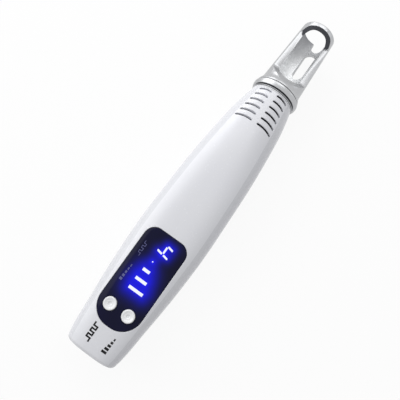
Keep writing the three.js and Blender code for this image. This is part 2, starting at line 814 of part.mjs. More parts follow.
function fanFrame() {
  const half = fanSize / 2;
  const shape = new THREE.Shape();
  const inner = half - fanCorner;
  shape.absarc(inner, inner, fanCorner, 0, Math.PI / 2, false);
  shape.absarc(-inner, inner, fanCorner, Math.PI / 2, Math.PI, false);
  shape.absarc(-inner, -inner, fanCorner, Math.PI, 1.5 * Math.PI, false);
  shape.absarc(inner, -inner, fanCorner, 1.5 * Math.PI, 2 * Math.PI, false);
  const options = { depth: fanThickness, bevelEnabled: false, curveSegments: arcSteps };
  const block = new THREE.ExtrudeGeometry(shape, options);
  const frame = cut(
    solid(block.rotateY(Math.PI / 2).translate(fanX, 0, 0)),
    rodAlong(fanX - overrun, fanEnd + overrun, fanBoreRadius)
  );
  const hub = rodAlong(fanX, fanX + fanBackPlate, fanHubRadius, smallSides);
  const shaft = rodAlong(fanX, fanEnd - fanBackPlate, fanShaftRadius, smallSides);
  const spokes = [];
  for (let i = 0; i < fanSpokes; i++) {
    const side = fanSpokeWidth / 2;
    const spoke = box(fanX, fanX + fanBackPlate, fanHubRadius - weld, fanBoreRadius + weld, -side, side);
    spokes.push(spoke.rotate([fanSpokeTurn + (i * 360) / fanSpokes, 0, 0]));
  }
  return join(frame, hub, shaft, ...spokes);
}

function fanRotor() {
  const low = fanX + fanBackPlate + clearance;
  const high = low + rotorHubLength;
  const socket = fanShaftRadius + fanShaftRoom;
  const hub = cut(
    rodAlong(low, high, fanHubRadius, smallSides),
    rodAlong(low - overrun, fanEnd - fanBackPlate + clearance, socket, smallSides)
  );
  const blades = [];
  for (let i = 0; i < rotorBlades; i++) {
    const reach = fanBoreRadius - rotorTipGap - fanHubRadius;
    const plate = new THREE.BoxGeometry(rotorBladeLength, rotorBladeThickness, reach + weld);
    plate.rotateZ(rotorBladeTwist);
    plate.translate((low + high) / 2, 0, fanHubRadius + (reach - weld) / 2);
    plate.rotateX((i / rotorBlades) * 2 * Math.PI);
    blades.push(solid(plate));
  }
  return join(hub, ...blades);
}

function laserBarrel() {
  const cell = barrelEndX - lensCellDepth;
  const seat = barrelStart + diodeSeatDepth;
  const threadStart = barrelEndX - clearance - retainerLength - clearance;
  return turnedRing([
    [barrelStart, diodeFlangeRadius + clearance],
    [barrelStart, barrelRadius],
    [barrelEndX, barrelRadius],
    [barrelEndX, retainerRadius + clearance],
    [threadStart, retainerRadius + clearance],
    [threadStart, lensRadius + clearance],
    [cell, lensRadius + clearance],
    [cell, beamBoreRadius],
    [seat, beamBoreRadius],
    [seat, diodeFlangeRadius + clearance]
  ]);
}

const diodeFlangeX = barrelStart + diodeSeatDepth - clearance - diodeFlangeLength;
const diodePinX = diodeFlangeX - diodePinLength;

function laserDiode() {
  const can = turned([
    [diodeFlangeX, 0],
    [diodeFlangeX, diodeFlangeRadius],
    [diodeFlangeX + diodeFlangeLength, diodeFlangeRadius],
    [diodeFlangeX + diodeFlangeLength, diodeCapRadius],
    [diodeFlangeX + diodeFlangeLength + diodeCapLength, diodeCapRadius],
    [diodeFlangeX + diodeFlangeLength + diodeCapLength, 0]
  ]);
  const pins = [-1, 1].map((side) => rodAlong(
    diodePinX, diodeFlangeX + weld, diodePinRadius, smallSides
  ).translate([0, side * diodePinSpacing / 2, 0]));
  return join(can, ...pins);
}

const lensStartX = barrelEndX - lensCellDepth + clearance;

function focusLens() {
  const flat = lensStartX + lensLength - lensCrown;
  const points = [[lensStartX, 0], [lensStartX, lensRadius], [flat, lensRadius]];
  for (const share of lensCrownShares) {
    points.push([flat + lensCrown * Math.sqrt(1 - share * share), share * lensRadius]);
  }
  return turned(points);
}

function lensRetainer() {
  const high = barrelEndX - clearance;
  const low = high - retainerLength;
  return turnedRing([
    [low, retainerBore], [low, retainerRadius], [high, retainerRadius], [high, retainerBore + clearance]
  ]);
}

const glassStartX = barrelEndX + clearance;

function protectiveGlass() {
  return rodAlong(glassStartX, glassStartX + glassThickness, glassRadius, bigSides);
}

function heatSink() {
  const rootHalf = Math.asin(sinkFinThickness / 2 / sinkHubRadius);
  const tipHalf = Math.asin(sinkFinThickness / 2 / sinkFinRadius);
  const outline = [];
  for (let i = 0; i < sinkFins; i++) {
    const middle = (i / sinkFins) * 2 * Math.PI;
    const corners = [
      [sinkHubRadius, middle - rootHalf],
      [sinkFinRadius, middle - tipHalf],
      [sinkFinRadius, middle + tipHalf],
      [sinkHubRadius, middle + rootHalf]
    ];
    for (const [radius, angle] of corners) {
      outline.push(new THREE.Vector2(radius * Math.cos(angle), radius * Math.sin(angle)));
    }
  }
  const shape = new THREE.Shape(outline);
  const bore = new THREE.Path();
  bore.absarc(0, 0, barrelRadius + clearance, 0, 2 * Math.PI, true);
  shape.holes.push(bore);
  const options = { depth: sinkEnd - sinkStart, bevelEnabled: false, curveSegments: midSides };
  return solid(new THREE.ExtrudeGeometry(shape, options).rotateY(Math.PI / 2).translate(sinkStart, 0, 0));
}

function noseGasket() {
  const low = bodyLength + clearance;
  return turnedRing([
    [low, collarNeckRadius + clearance],
    [low, gasketRadius],
    [low + gasketThickness, gasketRadius],
    [low + gasketThickness, collarNeckRadius + clearance]
  ], bigSides);
}

function nozzleCollar() {
  const flangeEnd = collarFlangeX + collarFlangeLength;
  const rimX = collarStartX + collarRimLength;
  return turnedRing([
    [collarFlangeX, barrelRadius + clearance],
    [collarFlangeX, collarFlangeRadius],
    [flangeEnd, collarFlangeRadius],
    [flangeEnd, collarNeckRadius],
    [collarStartX, collarNeckRadius],
    [collarStartX, collarTailRadius],
    [(collarStartX + rimX) / 2, (collarTailRadius + collarRadius) / 2 + clearance / 2],
    [rimX, collarRadius],
    [collarEndX, collarEndRadius],
    [collarEndX, guardSpigotRadius + clearance],
    [collarCounterboreX, guardSpigotRadius + clearance],
    [collarCounterboreX, barrelRadius + clearance]
  ], bigSides);
}

// What stays of the guard at its tip: a cone that opens towards the tip and leans with its arch
function guardTipCone() {
  const slope = guardArchBevel / guardTipWall;
  const archX = guardEndX - guardArchInset - guardArchLean * guardTipRadius;
  const highX = guardEndX + 2 * overrun;
  const cone = turned([
    [archX - slope * guardTipRadius, 0],
    [archX + slope * overrun, guardTipRadius + overrun],
    [highX, guardTipRadius + overrun],
    [highX, 0]
  ], bigSides);
  return cone.transform([1, 0, 0, 0, 0, 1, 0, 0, guardArchLean, 0, 1, 0, 0, 0, 0, 1]);
}

// The milled opening on the display side: a sloping scoop, the two flats and the arch at the tip
function guardOpening() {
  const side = guardFootRadius + overrun;
  const slope = guardScoopLength / (guardTailRadius - guardFlatHeight);
  const profile = new THREE.Shape([
    new THREE.Vector2(guardScoopStart - slope * (side - guardTailRadius), side),
    new THREE.Vector2(guardScoopEnd, guardFlatHeight),
    new THREE.Vector2(guardEndX + overrun, guardFlatHeight),
    new THREE.Vector2(guardEndX + overrun, side)
  ]);
  return cut(prism(profile, -side, side).rotate([90, 0, 0]), guardTipCone()).rotate([guardMillTurn, 0, 0]);
}

// A slot with round ends through one side of the guard, turned away from the display side
function guardSlot(x, length, width, turn) {
  const shape = slotShape(x, 0, length, width);
  return prism(shape, 0, guardTailRadius + overrun, guardArcSteps).rotate([turn, 0, 0]);
}

function spacerGuard() {
  const spigotX = collarCounterboreX + clearance;
  const coneX = guardStartX + guardFootLength;
  const lipX = glassStartX + glassThickness + clearance;
  const floorX = lipX + guardLipLength;
  const glassSeat = glassRadius + clearance;
  const tipRound = guardTipRoundShare * guardTipRound;
  const tube = turnedRing([
    [spigotX, glassSeat],
    [spigotX, guardSpigotRadius],
    [guardStartX, guardSpigotRadius],
    [guardStartX, guardFootRadius],
    [coneX, guardTailRadius],
    [guardEndX - guardTipRound, guardTipRadius],
    [guardEndX - tipRound, guardTipRadius - tipRound],
    [guardEndX, guardTipRadius - guardTipRound],
    [guardEndX, guardBoreRadius],
    [floorX, guardBoreRadius],
    [floorX, guardLipRadius],
    [lipX, guardLipRadius],
    [lipX, glassSeat]
  ], bigSides);
  const backWindow = guardSlot(guardWindowX, guardWindowLength, guardWindowWidth, guardWindowTurn);
  const notchX = guardEndX - guardNotchDepth + guardNotchWidth;
  const notch = guardSlot(notchX, 2 * guardNotchWidth, guardNotchWidth, guardNotchTurn);
  return cut(tube, guardOpening(), backWindow, notch);
}

// Round lead along a curve
function lead(path, steps) {
  const shape = new THREE.Shape();
  shape.absarc(0, 0, leadRadius, 0, 2 * Math.PI, false);
  const options = { steps, bevelEnabled: false, extrudePath: path, curveSegments: leadSteps };
  return solid(new THREE.ExtrudeGeometry(shape, options));
}

// Lead that leaves start and reaches end squarely
function shortLead(start, startWay, end, endWay) {
  return lead(new THREE.CubicBezierCurve3(
    start,
    start.clone().addScaledVector(startWay, leadReach),
    end.clone().addScaledVector(endWay, leadReach),
    end
  ), smallSides);
}

const towardTip = new THREE.Vector3(1, 0, 0);
const up = new THREE.Vector3(0, 0, 1);
const down = new THREE.Vector3(0, 0, -1);

function jackLead(side) {
  const jackEnd = tailWall + clearance + jackBodyLength;
  return shortLead(
    new THREE.Vector3(jackEnd + clearance, side * jackLeadY, jackHeight),
    towardTip,
    new THREE.Vector3(jackEnd + 2 * leadReach, side * jackLeadY, boardBottom - clearance),
    down
  );
}

// The leads pass beside the fan in the slots of the ribs, then turn in behind the laser diode
function laserLead(side) {
  const slotY = side * laserLeadY;
  const beforeFan = fanX - clearance - ribThickness;
  const boardY = side * (driverBoardWidth / 2 - leadRadius - clearance);
  const pinY = side * diodePinSpacing / 2;
  const leadEndX = diodePinX - clearance - leadRadius / 2;
  return lead(new THREE.CatmullRomCurve3([
    new THREE.Vector3(driverBoardEnd - leadReach, boardY, boardBottom - clearance),
    new THREE.Vector3(driverBoardEnd - leadReach, boardY, laserLeadZ),
    new THREE.Vector3(driverBoardEnd + leadReach, slotY, 0),
    new THREE.Vector3(beforeFan, slotY, 0),
    new THREE.Vector3(fanEnd, slotY, 0),
    new THREE.Vector3(fanEnd + leadReach / 3, laserLeadTurnShare * slotY, 0),
    new THREE.Vector3((fanEnd + diodePinX) / 2, slotY / 2, 0),
    new THREE.Vector3(leadEndX - leadRadius, 2 * pinY, 0),
    new THREE.Vector3(leadEndX, pinY, 0)
  ]), 3 * smallSides);
}

// The lead lies along the fan's side in the slot of its rib
function fanLead() {
  const boardMiddle = boardTop - boardThickness / 2;
  const besideFan = fanSize / 2 + clearance + leadRadius;
  return lead(new THREE.CatmullRomCurve3([
    new THREE.Vector3(driverBoardEnd + clearance, besideFan / 2, boardMiddle),
    new THREE.Vector3(driverBoardEnd + leadReach, besideFan / 2, boardMiddle),
    new THREE.Vector3(fanX - leadReach, besideFan, 0),
    new THREE.Vector3(fanX + fanThickness / 2, besideFan, 0)
  ]), 2 * smallSides);
}

function triggerLead() {
  const y = triggerBoardWidth / 4;
  const startZ = triggerBoardLow + triggerBoardThickness + clearance;
  return shortLead(
    new THREE.Vector3(triggerX - triggerBoardLength / 4, y, startZ),
    up,
    new THREE.Vector3(driverBoardEnd - 2 * leadReach, y, boardBottom - clearance),
    down
  );
}

const finishes = {
  shell: { color: 0xe9eaee, roughness: 0.28, metalness: 0 },
  window: { color: 0x14143c, roughness: 0.08, metalness: 0 },
  button: { color: 0xeef0f2, roughness: 0.35, metalness: 0 },
  metal: { color: 0xaeb0b4, roughness: 0.3, metalness: 1 },
  sink: { color: 0x9ba0a6, roughness: 0.45, metalness: 1 },
  brass: { color: 0xc09a4f, roughness: 0.35, metalness: 1 },
  steel: { color: 0xb9bbbd, roughness: 0.35, metalness: 1 },
  board: { color: 0x1f5a36, roughness: 0.55, metalness: 0 },
  black: { color: 0x1b1b1d, roughness: 0.6, metalness: 0 },
  rubber: { color: 0x26262a, roughness: 0.85, metalness: 0 },
  glass: { color: 0xdfe9ee, roughness: 0.03, metalness: 0 },
  ferrite: { color: 0x33363a, roughness: 0.7, metalness: 0 },
  red: { color: 0xb3261e, roughness: 0.5, metalness: 0 },
  ribbon: { color: 0x9a9da3, roughness: 0.5, metalness: 0 },
  trigger: { color: 0x8f9399, roughness: 0.4, metalness: 0 }
};

const pen = new THREE.Group();

function add(name, shape, finish) {
  const { vertProperties, triVerts } = shape.getMesh();
  const geometry = new THREE.BufferGeometry();
  geometry.setAttribute('position', new THREE.BufferAttribute(new Float32Array(vertProperties), 3));
  geometry.setIndex(new THREE.BufferAttribute(new Uint32Array(triVerts), 1));
  geometry.computeVertexNormals();
  const mesh = new THREE.Mesh(geometry, new THREE.MeshStandardMaterial(finishes[finish]));
  mesh.name = name;
  pen.add(mesh);
}

add('front_shell', frontShell(), 'shell');
add('back_shell', backShell(), 'shell');
add('display_window', displayWindow(), 'window');
add('main_board', board(
  mainBoardStart, mainBoardEnd, mainBoardWidth, boardBottom, boardThickness, boardScrewPlaces
), 'board');
add('display_module', box(
  displayModuleStart, displayModuleEnd,
  -displayModuleWidth / 2, displayModuleWidth / 2,
  boardTop + clearance, boardTop + clearance + displayModuleHeight
), 'black');
for (const [name, side] of [['frequency', 1], ['intensity', -1]]) {
  const y = buttonPlace(side);
  add(name + '_button', roundButton(side), 'button');
  add(name + '_switch', switchBody(buttonX, y, topSwitchLow, topSwitchTop, topSwitchTop), 'black');
  add(name + '_plunger', rod(buttonX, y, topPlungerLow, topPlungerTop, plungerRadius), 'button');
}

add('trigger_button', triggerButton(), 'trigger');
add('trigger_switch', switchBody(
  triggerX, 0, triggerSwitchLow, triggerSwitchTop, triggerSwitchLow
), 'black');
add('trigger_plunger', rod(triggerX, 0, triggerPlungerLow, triggerPlungerTop, plungerRadius), 'button');
add('trigger_board', board(
  triggerX - triggerBoardLength / 2, triggerX + triggerBoardLength / 2,
  triggerBoardWidth, triggerBoardLow, triggerBoardThickness, triggerScrewPlaces
), 'board');

add('driver_board', board(
  driverBoardStart, driverBoardEnd, driverBoardWidth, boardBottom, boardThickness, driverScrewPlaces
), 'board');
add('driver_inductor', inductor(), 'ferrite');
add('driver_capacitor', capacitor(), 'black');
add('link_ribbon', linkRibbon(), 'ribbon');

add('dc_jack', dcJack(), 'black');
add('jack_lead_red', jackLead(1), 'red');
add('jack_lead_black', jackLead(-1), 'black');

add('fan_frame', fanFrame(), 'black');
add('fan_rotor', fanRotor(), 'black');
add('fan_lead', fanLead(), 'red');

add('laser_barrel', laserBarrel(), 'metal');
add('laser_diode', laserDiode(), 'steel');
add('focus_lens', focusLens(), 'glass');
add('lens_retainer', lensRetainer(), 'brass');
add('heat_sink', heatSink(), 'sink');
add('protective_glass', protectiveGlass(), 'glass');
add('laser_lead_red', laserLead(1), 'red');
add('laser_lead_black', laserLead(-1), 'black');
add('trigger_lead', triggerLead(), 'black');

add('nose_gasket', noseGasket(), 'rubber');
add('nozzle_collar', nozzleCollar(), 'metal');
add('spacer_guard', spacerGuard(), 'metal');

shellScrewPlaces.forEach(([x, y], i) => {
  const length = screwBite - counterboreTop - clearance;
  add('shell_screw_' + (i + 1), screw(x, y, counterboreTop - clearance, 1, length), 'steel');
});
[['board', boardScrewPlaces], ['driver', driverScrewPlaces]].forEach(([name, places]) => {
  places.forEach(([x, y], i) => {
    add(name + '_screw_' + (i + 1), screw(x, y, boardBottom - clearance, 1, screwBite - clearance), 'steel');
  });
});
triggerScrewPlaces.forEach(([x, y], i) => {
  const headZ = triggerBoardLow + triggerBoardThickness + clearance;
  add('trigger_screw_' + (i + 1), screw(x, y, headZ, -1, screwBite - clearance), 'steel');
});

// The pen lies on its flattened belly, and its origin is under the middle of its length
pen.position.set((jackProud - guardEndX) / 2, 0, -bellyPlane);

export default pen;
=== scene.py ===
import math
import bpy
from mathutils import Matrix, Vector


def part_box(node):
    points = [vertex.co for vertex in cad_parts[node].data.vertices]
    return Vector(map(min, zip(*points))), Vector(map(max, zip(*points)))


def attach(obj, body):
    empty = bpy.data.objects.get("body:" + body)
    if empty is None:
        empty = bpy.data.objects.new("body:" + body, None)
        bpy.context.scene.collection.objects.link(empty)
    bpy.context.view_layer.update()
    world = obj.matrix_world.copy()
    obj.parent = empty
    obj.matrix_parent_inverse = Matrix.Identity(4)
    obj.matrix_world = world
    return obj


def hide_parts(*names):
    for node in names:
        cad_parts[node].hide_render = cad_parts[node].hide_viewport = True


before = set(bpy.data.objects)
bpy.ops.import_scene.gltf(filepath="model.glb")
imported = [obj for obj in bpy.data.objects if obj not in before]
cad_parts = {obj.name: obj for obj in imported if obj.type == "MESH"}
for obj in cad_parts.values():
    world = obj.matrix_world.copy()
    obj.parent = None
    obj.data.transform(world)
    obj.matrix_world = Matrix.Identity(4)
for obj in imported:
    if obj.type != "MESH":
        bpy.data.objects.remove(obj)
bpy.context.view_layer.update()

# Places are given in millimetres: x from the tail face, y across, z from the pen's long axis
mm = 0.001
seamHalfGap = 0.05
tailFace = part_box("front_shell")[0].x
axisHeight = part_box("front_shell")[0].z - seamHalfGap * mm  # the upper half starts half a gap over the axis
weldReach = 0.0002 * mm
nearly = 0.01 * mm       # what differs by less than this counts as the same
smoothAngle = 32


def spot(x, y, z):
    return Vector((tailFace + x * mm, y * mm, axisHeight + z * mm))


def inMillimetres(point):
    return (point - spot(0, 0, 0)) / mm


def pick(sizes, names):
    return [sizes[name] for name in names.split()]


def objectMode():
    if bpy.context.mode != "OBJECT":
        bpy.ops.object.mode_set(mode="OBJECT")


def deselectAll():
    objectMode()
    bpy.ops.object.select_all(action="DESELECT")


def makeActive(obj):
    deselectAll()
    obj.select_set(True)
    bpy.context.view_layer.objects.active = obj


def editAll(obj):
    makeActive(obj)
    bpy.ops.object.mode_set(mode="EDIT")
    bpy.ops.mesh.select_mode(type="VERT")
    bpy.ops.mesh.select_all(action="SELECT")


def cleanMesh(obj):
    editAll(obj)
    bpy.ops.mesh.remove_doubles(threshold=weldReach)
    bpy.ops.mesh.normals_make_consistent(inside=False)
    objectMode()


def cornersOf(obj, part):
    return [obj.data.vertices[i].co for i in part.vertices]


def selectParts(obj, kind, test):
    # kind is EDGE or FACE; test gets the corners of each
    editAll(obj)
    bpy.ops.mesh.select_mode(type=kind)
    bpy.ops.mesh.select_all(action="DESELECT")
    objectMode()
    for part in obj.data.edges if kind == "EDGE" else obj.data.polygons:
        part.select = test(cornersOf(obj, part))
    bpy.ops.object.mode_set(mode="EDIT")


def joinAll(name, objs):
    deselectAll()
    for obj in objs:
        obj.select_set(True)
    bpy.context.view_layer.objects.active = objs[0]
    if len(objs) > 1:
        bpy.ops.object.join()
    objs[0].name = name
    return objs[0]


def copyOf(obj, name):
    makeActive(obj)
    bpy.ops.object.duplicate(linked=False)
    twin = bpy.context.object
    twin.name = name
    return twin


def applyModifier(obj, kind, **settings):
    makeActive(obj)
    modifier = obj.modifiers.new(kind.lower(), kind)
    for key, value in settings.items():
        setattr(modifier, key, value)
    bpy.ops.object.modifier_apply(modifier=modifier.name)


def cutAway(obj, cutter):
    applyModifier(obj, "BOOLEAN", operation="DIFFERENCE", solver="EXACT", object=cutter)
    bpy.data.objects.remove(cutter)


def isUpright(ends):
    # True for an edge that runs up a body whose levels stand one apart
    return abs(ends[0].z - ends[1].z) > 0.5


def ringBody(name, rings):
    # A cylinder whose long edges are subdivided; each of its rings then takes its own outline
    around, levels = len(rings[0]), len(rings)
    deselectAll()
    bpy.ops.mesh.primitive_cylinder_add(vertices=around, radius=1, depth=levels - 1)
    obj = bpy.context.object
    obj.name = name
    selectParts(obj, "EDGE", isUpright)
    if levels > 2:
        bpy.ops.mesh.subdivide(number_cuts=levels - 2)
    objectMode()
    for vertex in obj.data.vertices:
        level = round(vertex.co.z + (levels - 1) / 2)
        step = round(math.atan2(vertex.co.y, vertex.co.x) / (2 * math.pi) * around) % around
        vertex.co = rings[level][step]
    cleanMesh(obj)
    return obj


def rounded(outline, steps=4):
    # Corners given as (a, b, reach) become small curves that start reach away from the corner
    points = []
    for i, corner in enumerate(outline):
        here = Vector(corner[:2])
        if len(corner) == 2:
            points.append(here)
            continue
        before, after = Vector(outline[i - 1][:2]), Vector(outline[(i + 1) % len(outline)][:2])
        start = here + (before - here).normalized() * corner[2]
        end = here + (after - here).normalized() * corner[2]
        for k in range(steps + 1):
            t = k / steps
            points.append(start * (1 - t) ** 2 + here * 2 * t * (1 - t) + end * t * t)
    return points


def turnedBody(name, outline, sides, closed, placeOf, centre, axis):
    # One vertex is drawn out along the outline, and the line is spun round the axis
    flat = rounded(outline)
    if closed:
        flat.append(flat[0])
    points = [placeOf(p) for p in flat]
    deselectAll()
    bpy.ops.mesh.primitive_plane_add(size=mm, location=(0, 0, 0))
    obj = bpy.context.object
    obj.name = name
    editAll(obj)
    bpy.ops.mesh.merge(type="CENTER")
    bpy.ops.transform.translate(value=points[0])
    for here, there in zip(points, points[1:]):
        bpy.ops.mesh.extrude_vertices_move(TRANSFORM_OT_translate={"value": there - here})
    bpy.ops.mesh.select_all(action="SELECT")
    bpy.ops.mesh.spin(steps=sides, angle=2 * math.pi, center=centre, axis=axis)
    objectMode()
    cleanMesh(obj)
    return obj


def turnedAlong(name, outline, sides, height=0, closed=False):
    # Outline of (x, radius) round the pen's axis, or round a line beside it
    return turnedBody(
        name, outline, sides, closed, lambda p: spot(p.x, 0, height + p.y), spot(0, 0, height), (1, 0, 0)
    )


def turnedUpright(name, x, y, outline, sides, closed=False):
    # Outline of (radius, z) round an upright line
    return turnedBody(
        name, outline, sides, closed, lambda p: spot(x + p.x, y, p.y), spot(x, y, 0), (0, 0, 1)
    )


def finishPiece(obj, body, material, replaced=()):
    makeActive(obj)
    bpy.ops.object.transform_apply(location=True, rotation=True, scale=True)
    bpy.ops.object.shade_smooth_by_angle(angle=math.radians(smoothAngle))
    obj.data.materials.clear()
    obj.data.materials.append(material)
    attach(obj, body)
    if replaced:
        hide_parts(*replaced)
    return obj


def linearColour(code):
    # sRGB hex to the linear colour that the sockets take
    parts = [int(code[i:i + 2], 16) / 255 for i in (1, 3, 5)]
    return [c / 12.92 if c <= 0.04045 else ((c + 0.055) / 1.055) ** 2.4 for c in parts] + [1]


def addNode(material, kind, settings=None, links=None):
    node = material.node_tree.nodes.new(kind)
    for key, value in (settings or {}).items():
        if isinstance(key, str) and hasattr(node, key):
            setattr(node, key, value)
        else:
            node.inputs[key].default_value = value
    for key, source in (links or {}).items():
        material.node_tree.links.new(source, node.inputs[key])
    return node


def newMaterial(name):
    # The empty material, and the place of each point in metres
    material = bpy.data.materials.new(name)
    material.use_nodes = True
    material.node_tree.nodes.clear()
    return material, addNode(material, "ShaderNodeTexCoord").outputs["Object"]


def closeMaterial(material, shader):
    addNode(material, "ShaderNodeOutputMaterial", links={"Surface": shader.outputs[0]})
    return material


def principled(material, settings=None, links=None):
    return closeMaterial(material, addNode(material, "ShaderNodeBsdfPrincipled", settings, links))


def softNoise(material, place, size, detail=2):
    # Noise in patches about so many millimetres wide
    return addNode(
        material, "ShaderNodeTexNoise", {"Scale": 1 / (size * mm), "Detail": detail}, {"Vector": place}
    ).outputs["Fac"]


def mixColours(material, share, first, second):
    return addNode(material, "ShaderNodeMix", {
        "data_type": "RGBA", 6: linearColour(first), 7: linearColour(second)
    }, {0: share}).outputs[2]


def between(material, share, low, high):
    return addNode(
        material, "ShaderNodeMapRange", {"To Min": low, "To Max": high}, {"Value": share}
    ).outputs[0]


def bumpFrom(material, height, depth):
    return addNode(
        material, "ShaderNodeBump", {"Strength": 1, "Distance": depth * mm}, {"Height": height}
    ).outputs["Normal"]


def grainMaterial(name, colours, patch, grain, depth, rough, sockets=None, stretch=(1, 1, 1), shadeFade=None):
    # Two close colours in soft patches, and a fine grain that lifts the surface and its gloss
    material, place = newMaterial(name)
    colour = mixColours(material, softNoise(material, place, patch, 3), *colours)
    if shadeFade:
        # painted shade that darkens the colour along the pen
        start, end, shadeColour = shadeFade
        along = addNode(material, "ShaderNodeSeparateXYZ", links={0: place}).outputs[0]
        share = addNode(material, "ShaderNodeMapRange", {
            "From Min": spot(start, 0, 0).x, "From Max": spot(end, 0, 0).x
        }, {"Value": along}).outputs[0]
        colour = addNode(material, "ShaderNodeMix", {"data_type": "RGBA", 7: linearColour(shadeColour)}, {
            0: share, 6: colour
        }).outputs[2]
    stretched = addNode(material, "ShaderNodeMapping", {"Scale": stretch}, {"Vector": place}).outputs[0]
    fine = softNoise(material, stretched, grain)
    return principled(material, sockets, {
        "Base Color": colour, "Roughness": between(material, fine, *rough),
        "Normal": bumpFrom(material, fine, depth)
    })


metal = {"Metallic": 1}
# Two colours; width of the patches and of the grain and its depth, in millimetres; roughness from, to;
# other values of the shader; stretch of the grain; where painted shade fades in from, to, and its colour
materialLooks = {
    # Injection-moulded ABS from a polished tool: an even, slightly cool white with a soft gloss
    "polishedAbs": (("#e3e4ea", "#e7e8ec"), 22, 1.1, 0.0012, (0.22, 0.3), {"IOR": 1.53}),
    # The same ABS with painted shade, a shade greyer, for the flanks and the belly side where less light
    # falls
    "shadedAbs": (("#d7d8de", "#dbdce0"), 22, 1.1, 0.0012, (0.22, 0.3), {"IOR": 1.53}),
    # Moulded ABS keys with a satin silver-white lacquer
    "lacqueredAbs": (("#f4f5f7", "#fafbfc"), 4, 0.3, 0.001, (0.26, 0.36), {"IOR": 1.52}),
    # Soft-touch moulded key on the belly: mid grey, dull
    "softTouchAbs": (("#8d9198", "#999da3"), 5, 0.25, 0.006, (0.46, 0.6), {"IOR": 1.5}),
    # Turned and polished aluminium: bright, with fine tool rings round the axis
    "polishedAluminium": (("#aeafb1", "#babbbd"), 6, 1, 0.004, (0.28, 0.4), metal, (5, 0.4, 0.4)),
    # Turned aluminium with a satin finish: coarser rings and a duller shine
    "satinAluminium": (("#b0b1b3", "#bcbdbf"), 5, 1, 0.006, (0.24, 0.38), metal, (6, 0.4, 0.4)),
    # Painted shade and dark reflection for the bevel of the guard's arch and the floor of the collar's
    # groove: a smoky grey that still shines
    "shadedAluminium": (("#3d3e42", "#48494d"), 4, 0.6, 0.003, (0.3, 0.42), metal),
    # The guard's bore, left as it was drilled: duller than the outside, with painted shade darkening it
    # towards the tip
    "shadedBoreAluminium": (
        ("#e6e7e8", "#edeeef"), 5, 0.7, 0.006, (0.55, 0.7), metal, (5, 0.6, 0.6), (190, 210, "#8c8d90")
    ),
    # Extruded aluminium of the heat sink: fine lines along the fins
    "extrudedAluminium": (("#8f9397", "#a2a6aa"), 5, 0.6, 0.01, (0.35, 0.5), metal, (0.2, 3, 3)),
    # Turned brass ring
    "turnedBrass": (("#b08d45", "#c8a35a"), 4, 0.5, 0.006, (0.25, 0.4), metal, (6, 0.5, 0.5)),
    # Zinc-plated steel screws: grey with a faint crystal bloom
    "platedSteel": (("#a3a6aa", "#b9bcc0"), 1.2, 0.25, 0.004, (0.26, 0.42), metal),
    # Nickel-plated contact pin and laser can
    "platedNickel": (("#b7b2a6", "#c9c4b8"), 2, 0.3, 0.002, (0.18, 0.3), metal),
    # Moulded black PBT of the inlet, fan and switches: dark with a fine spark texture
    "mouldedPbt": (("#17171a", "#202024"), 3, 0.22, 0.01, (0.42, 0.6), {"IOR": 1.55}),
    # Painted shade inside the shells, seen through the slots: nearly black, matt
    "insideShade": (("#1d1e21", "#27282c"), 6, 0.3, 0.01, (0.6, 0.75), {"IOR": 1.5}),
    # Silicone rubber gasket: off-white and dull
    "siliconeRubber": (("#dcdde1", "#e2e3e6"), 2, 0.2, 0.008, (0.6, 0.75), {"IOR": 1.43}),
    # Sintered ferrite of the inductor: dark grey, granular
    "sinteredFerrite": (("#2a2c30", "#3a3d42"), 1.2, 0.18, 0.02, (0.55, 0.75)),
    # PVC sleeve shrunk over the capacitor
    "shrunkPvc": (("#15171c", "#1d2027"), 3, 0.5, 0.006, (0.3, 0.42)),
    # Extruded PVC insulation of the leads
    "redPvc": (("#a3221b", "#b82c22"), 3, 0.3, 0.004, (0.35, 0.48)),
    "blackPvc": (("#161617", "#1f1f21"), 3, 0.3, 0.004, (0.35, 0.48)),
    # Ribbon cable: grey PVC with a wire under each fine rib
    "ribbonPvc": (("#8f9298", "#a0a3a9"), 4, 0.8, 0.05, (0.4, 0.5), None, (0.1, 3, 0.1)),
    # Pad-printed ink on the casing: black, a little duller than the plastic
    "printedInk": (("#0c0c0e", "#131315"), 1.5, 0.15, 0.001, (0.5, 0.6), {"Specular IOR Level": 0.2}),
    # Pale ink printed behind the window, so faint that it reads as grey blue
    "fadedInk": (("#4c4f80", "#585b8c"), 1.5, 0.15, 0.001, (0.4, 0.55))
}
looks = {name: grainMaterial(name, *look) for name, look in materialLooks.items()}


boardLook = {
    "ground": ("#17532f", "#1c5f37"), "track": "#2f7a4b",
    "cell": 3, "trackShare": 0.12, "cloth": 0.4, "clothDepth": 0.01, "rough": 0.38
}


def boardMaterial():
    # Glass-fibre board under green solder mask: lighter tracks on a darker ground, over fine cloth
    material, place = newMaterial("solderMask")
    ground = [linearColour(code) for code in boardLook["ground"]]
    tracks = addNode(material, "ShaderNodeTexBrick", {
        "Scale": 1 / (boardLook["cell"] * mm), "Mortar Size": boardLook["trackShare"],
        "Color1": ground[0], "Color2": ground[1], "Mortar": linearColour(boardLook["track"])
    }, {"Vector": place}).outputs["Color"]
    cloth = softNoise(material, place, boardLook["cloth"])
    return principled(material, {"Roughness": boardLook["rough"], "IOR": 1.5}, {
        "Base Color": tracks, "Normal": bumpFrom(material, cloth, boardLook["clothDepth"])
    })


glassLook = {"colour": "#e3ecf2", "haze": 3, "rough": (0.02, 0.05)}


def glassMaterial():
    # Ground and polished glass with a faint cool coating
    material, place = newMaterial("coatedGlass")
    rough = between(material, softNoise(material, place, glassLook["haze"]), *glassLook["rough"])
    return principled(material, {
        "Base Color": linearColour(glassLook["colour"]), "Transmission Weight": 1, "IOR": 1.52
    }, {"Roughness": rough})


